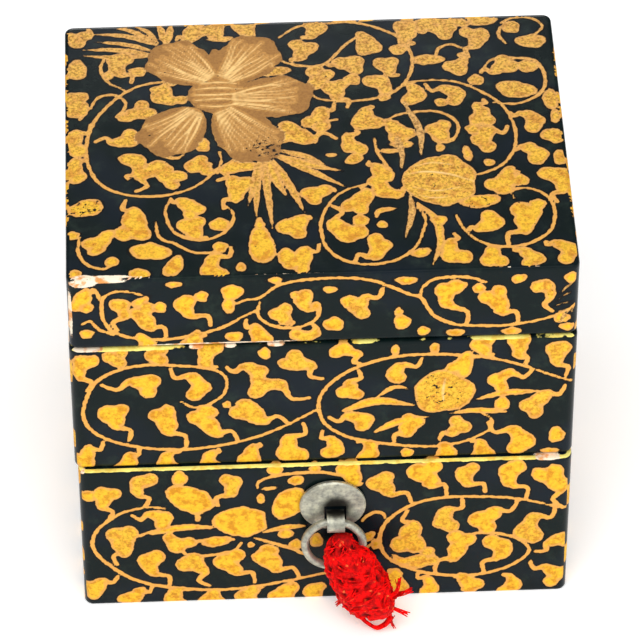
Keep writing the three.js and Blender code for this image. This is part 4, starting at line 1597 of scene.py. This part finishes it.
@dataclass
class Studio:
    """The camera at the photograph's angle, the soft lights and the paper floor."""

    azimuth: float = -2.302
    elevation: float = 43.649
    roll: float = -0.140
    distance: float = 934.4
    focal_pixels: float = 4715.4
    target: tuple[float, float, float] = (0.76, 0.0, 40.07)
    image: int = 640
    sensor: float = 36.0
    surround: str = "#f2f4f8"
    surround_strength: float = 0.3
    # What the lights aim at and how far the floor reaches, in metres like the lights' distances and sizes.
    aim: tuple[float, float, float] = (0.0, 0.0, 0.04)
    floor_reach: float = 3.0
    lights: tuple[SoftLight, ...] = (
        SoftLight("key", -22, 52, 1.1, 0.9, 6.0), SoftLight("fill", 28, 30, 1.1, 0.9, 4.5),
        SoftLight("overhead", 0, 84, 1.2, 1.2, 5.0), SoftLight("window", 180, 28, 1.1, 0.37, 2.2),
    )

    @staticmethod
    def direction(azimuth: float, elevation: float) -> Vector:
        """Points from the object towards a view or a light.

        Args:
            azimuth: degrees round the object, 0 in front.
            elevation: degrees above the horizon.

        Returns:
            The unit direction.
        """
        a, e = math.radians(azimuth), math.radians(elevation)
        return Vector((math.sin(a) * math.cos(e), -math.cos(a) * math.cos(e), math.sin(e)))

    def camera(self) -> None:
        """Makes the camera."""
        back = self.direction(self.azimuth, self.elevation)
        right = (-back).cross(Vector((0, 0, 1))).normalized()
        up = right.cross(-back)
        roll = math.radians(self.roll)
        across = right * math.cos(roll) + up * math.sin(roll)
        above = up * math.cos(roll) - right * math.sin(roll)
        data = bpy.data.cameras.new("camera")
        data.sensor_width = self.sensor
        data.lens = self.sensor * self.focal_pixels / self.image
        data.clip_start, data.clip_end = 0.05, 20
        eye = into_scene("camera", data)
        turn = Matrix((across, above, back)).transposed().to_4x4()
        eye.matrix_world = Matrix.Translation((Vector(self.target) + back * self.distance) * MM) @ turn
        bpy.context.scene.camera = eye
        LOG.info("camera: %.1f mm lens", data.lens)

    def light(self) -> None:
        """Makes the soft boxes and a dim even surround."""
        aim = Vector(self.aim)
        for box in self.lights:
            data = bpy.data.lights.new(box.name, "AREA")
            data.shape = "DISK"
            data.size = box.size
            data.energy = box.watts
            data.color = linear(box.tint)[:3]
            lamp = into_scene(box.name, data)
            lamp.location = aim + self.direction(box.azimuth, box.elevation) * box.distance
            lamp.rotation_euler = (aim - lamp.location).to_track_quat("-Z", "Y").to_euler()
        world = bpy.data.worlds.new("surround")
        world.use_nodes = True
        surround = world.node_tree.nodes["Background"].inputs
        surround["Color"].default_value = linear(self.surround)
        surround["Strength"].default_value = self.surround_strength
        bpy.context.scene.world = world
        bpy.context.scene.view_settings.view_transform = "Standard"
        LOG.info("lights: %d soft boxes", len(self.lights))

    def floor(self, finish: bpy.types.Material) -> None:
        """Makes the paper floor.

        Args:
            finish: the paper.
        """
        bm = bmesh.new()
        bmesh.ops.create_grid(bm, x_segments=2, y_segments=2, size=self.floor_reach)
        paper = finished_piece(mesh_of(bm, "paper_floor"), "paper_floor", finish, smooth_angle=30)
        LOG.info("paper_floor: made")


def painted(
    front: Scrollwork, half: float, low: float, high: float, side: tuple, back: tuple, leaf_size: float,
    seeds: tuple[int, int, int],
) -> dict[Face, Scrollwork]:
    """Paints a tier's front as the photo shows it, and its other upright faces with plainer vines.

    Args:
        front: the front's scrollwork.
        half: half the width of a side.
        low: the painting's lower edge.
        high: the painting's upper edge.
        side: the curling stems of both sides.
        back: the curling stems of the back.
        leaf_size: the leaves' size on the plainer faces.
        seeds: the start of the random draws for the right, the back and the left.

    Returns:
        Each face's scrollwork.
    """
    right, behind, left = (
        Wandering(width, low, high, curls, leaf_size).layout(seed)
        for width, curls, seed in zip((half, 46.5, half), (side, back, side), seeds)
    )
    return {Face.FRONT: front, Face.RIGHT: right, Face.BACK: behind, Face.LEFT: left}


def tiers() -> list[LacquerTier]:
    """Lists the box's tiers.

    Returns:
        The base, the middle and the lid.
    """
    base = LacquerTier(
        "lacquered_base_tier", "base_tier", BASE_PLAN, 0.0, 37.2,
        works=painted(
            BASE_FRONT, 36.5, 0, 37,
            side=((-17, 18.5, 17.5, 12, 150, 480, 0.42), (18, 19, 16.5, 12.5, -30, -470, 0.42)),
            back=((-26, 19, 20, 13, 160, 490, 0.4), (20, 18, 22, 12, -20, -480, 0.4)),
            leaf_size=0.9, seeds=(3, 4, 5),
        ),
        patches=worn(Face.FRONT, Layer.CHIP, (43, 37.2, 2.6, 0.5), (-47.2, 37.1, 0.8, 0.6)),
        gilt_rim=1.0, seated=MIDDLE_PLAN, floor=3.0,
    )
    middle = LacquerTier(
        "lacquered_middle_tier", "middle_tier", MIDDLE_PLAN, 37.5, 68.6,
        works=painted(
            MIDDLE_FRONT, 36, 38, 68,
            side=((-17.5, 53, 17, 10.5, 200, -470, 0.42), (18, 53, 16, 10.5, 20, -460, 0.45)),
            back=((-24, 53, 21, 10.5, 190, -480, 0.42), (24, 53, 20, 10.5, 10, 470, 0.42)),
            leaf_size=0.84, seeds=(6, 7, 8),
        ),
        patches=(
            *worn(Face.FRONT, Layer.RUB, (22.8, 55, 5, 5, 0.36)),
            *worn(Face.FRONT, Layer.CHIP, (-44.5, 68.6, 3.2, 0.4, 0.9), (-24, 68.6, 1.5, 0.35, 0.9),
                  (-17.6, 68.6, 1.2, 0.3, 0.9), (-9, 68.6, 1.8, 0.3, 0.85)),
            *worn(Face.FRONT, Layer.GILT, (-37, 68.6, 11, 0.35, 0.95), (33.5, 68.6, 6, 0.3, 0.9),
                  (7.5, 68.6, 2.4, 0.3, 0.8), (44, 68.6, 5, 0.3, 0.64)),
        ),
        gilt_rim=0.3, seated=LID_PLAN, floor=43.4, hollow=40.4,
    )
    lid = LacquerTier(
        "lacquered_lid", "lid", LID_PLAN, 68.9, 86.2,
        works=painted(
            LID_FRONT, 36, 69, 86,
            side=((-17, 77, 16, 5.6, 170, 420, 0.5), (18, 77.5, 16, 5.2, 10, -400, 0.5)),
            back=((-24, 77.5, 20, 5.4, 180, 430, 0.5), (23, 77, 20, 5.6, 0, -420, 0.5)),
            leaf_size=0.8, seeds=(9, 10, 12),
        ) | {Face.TOP: TOP_FACE},
        patches=(
            # The last chip here and the one on the left face make a cream strip down the lid's front-left
            # corner: a painted highlight where the rounded edge catches the light.
            *worn(Face.FRONT, Layer.CHIP, (-19, 69.2, 24, 0.3, 0.74), (-40.5, 85.9, 4.5, 0.5, 0.85),
                  (-45, 85.4, 2.8, 1, 0.9), (-47.3, 77.5, 0.32, 7, 0.8)),
            *worn(Face.LEFT, Layer.CHIP, (35.9, 77.5, 0.45, 7, 0.8)),
            *worn(Face.TOP, Layer.CHIP, (-44.6, -35.5, 2.8, 1.2), (-40, -35.5, 5.2, 0.95),
                  (-35, -35.6, 3, 0.5), (-8, -35.7, 18, 0.3, 0.6), (37, -35.7, 7, 0.35, 0.7)),
            *worn(Face.FRONT, Layer.RUB, (45, 78.5, 3, 3, 0.5)),
            *worn(Face.TOP, Layer.RUB, (-9, -0.5, 4, 3.6, 0.5), (0, 0, 300, 300, 0.1),
                  (30.4, -17.1, 4, 3, 0.35), (23, -10.9, 7, 7, 0.24), (-44, -15.9, 4, 3, 0.5)),
            # Browner gold a little over the whole top, and more towards its back.
            *worn(Face.TOP, Layer.TONE, (0, 0, 300, 300, 0.12), (0, 60, 200, 70, 0.42)),
        ),
        hollow=83.4,
    )
    return [base, middle, lid]


def main(frame: dict) -> None:
    """Builds the scene in order: camera, floor and lights, tiers, ring pull, tassel.

    Args:
        frame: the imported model.
    """
    logging.basicConfig(level=logging.INFO, format="%(name)s %(message)s")
    studio = Studio()
    studio.camera()
    studio.light()
    studio.floor(StudioPaper().build())
    lacquer, pewter, silk = UrushiLacquer().build(), AgedPewter().build(), SilkThread().build()
    for tier in tiers():
        tier.build(lacquer)
    RingPull().build(pewter, frame["nodes"])
    Tassel().build(silk)


if __name__ == "__main__":
    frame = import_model()
    main(frame)
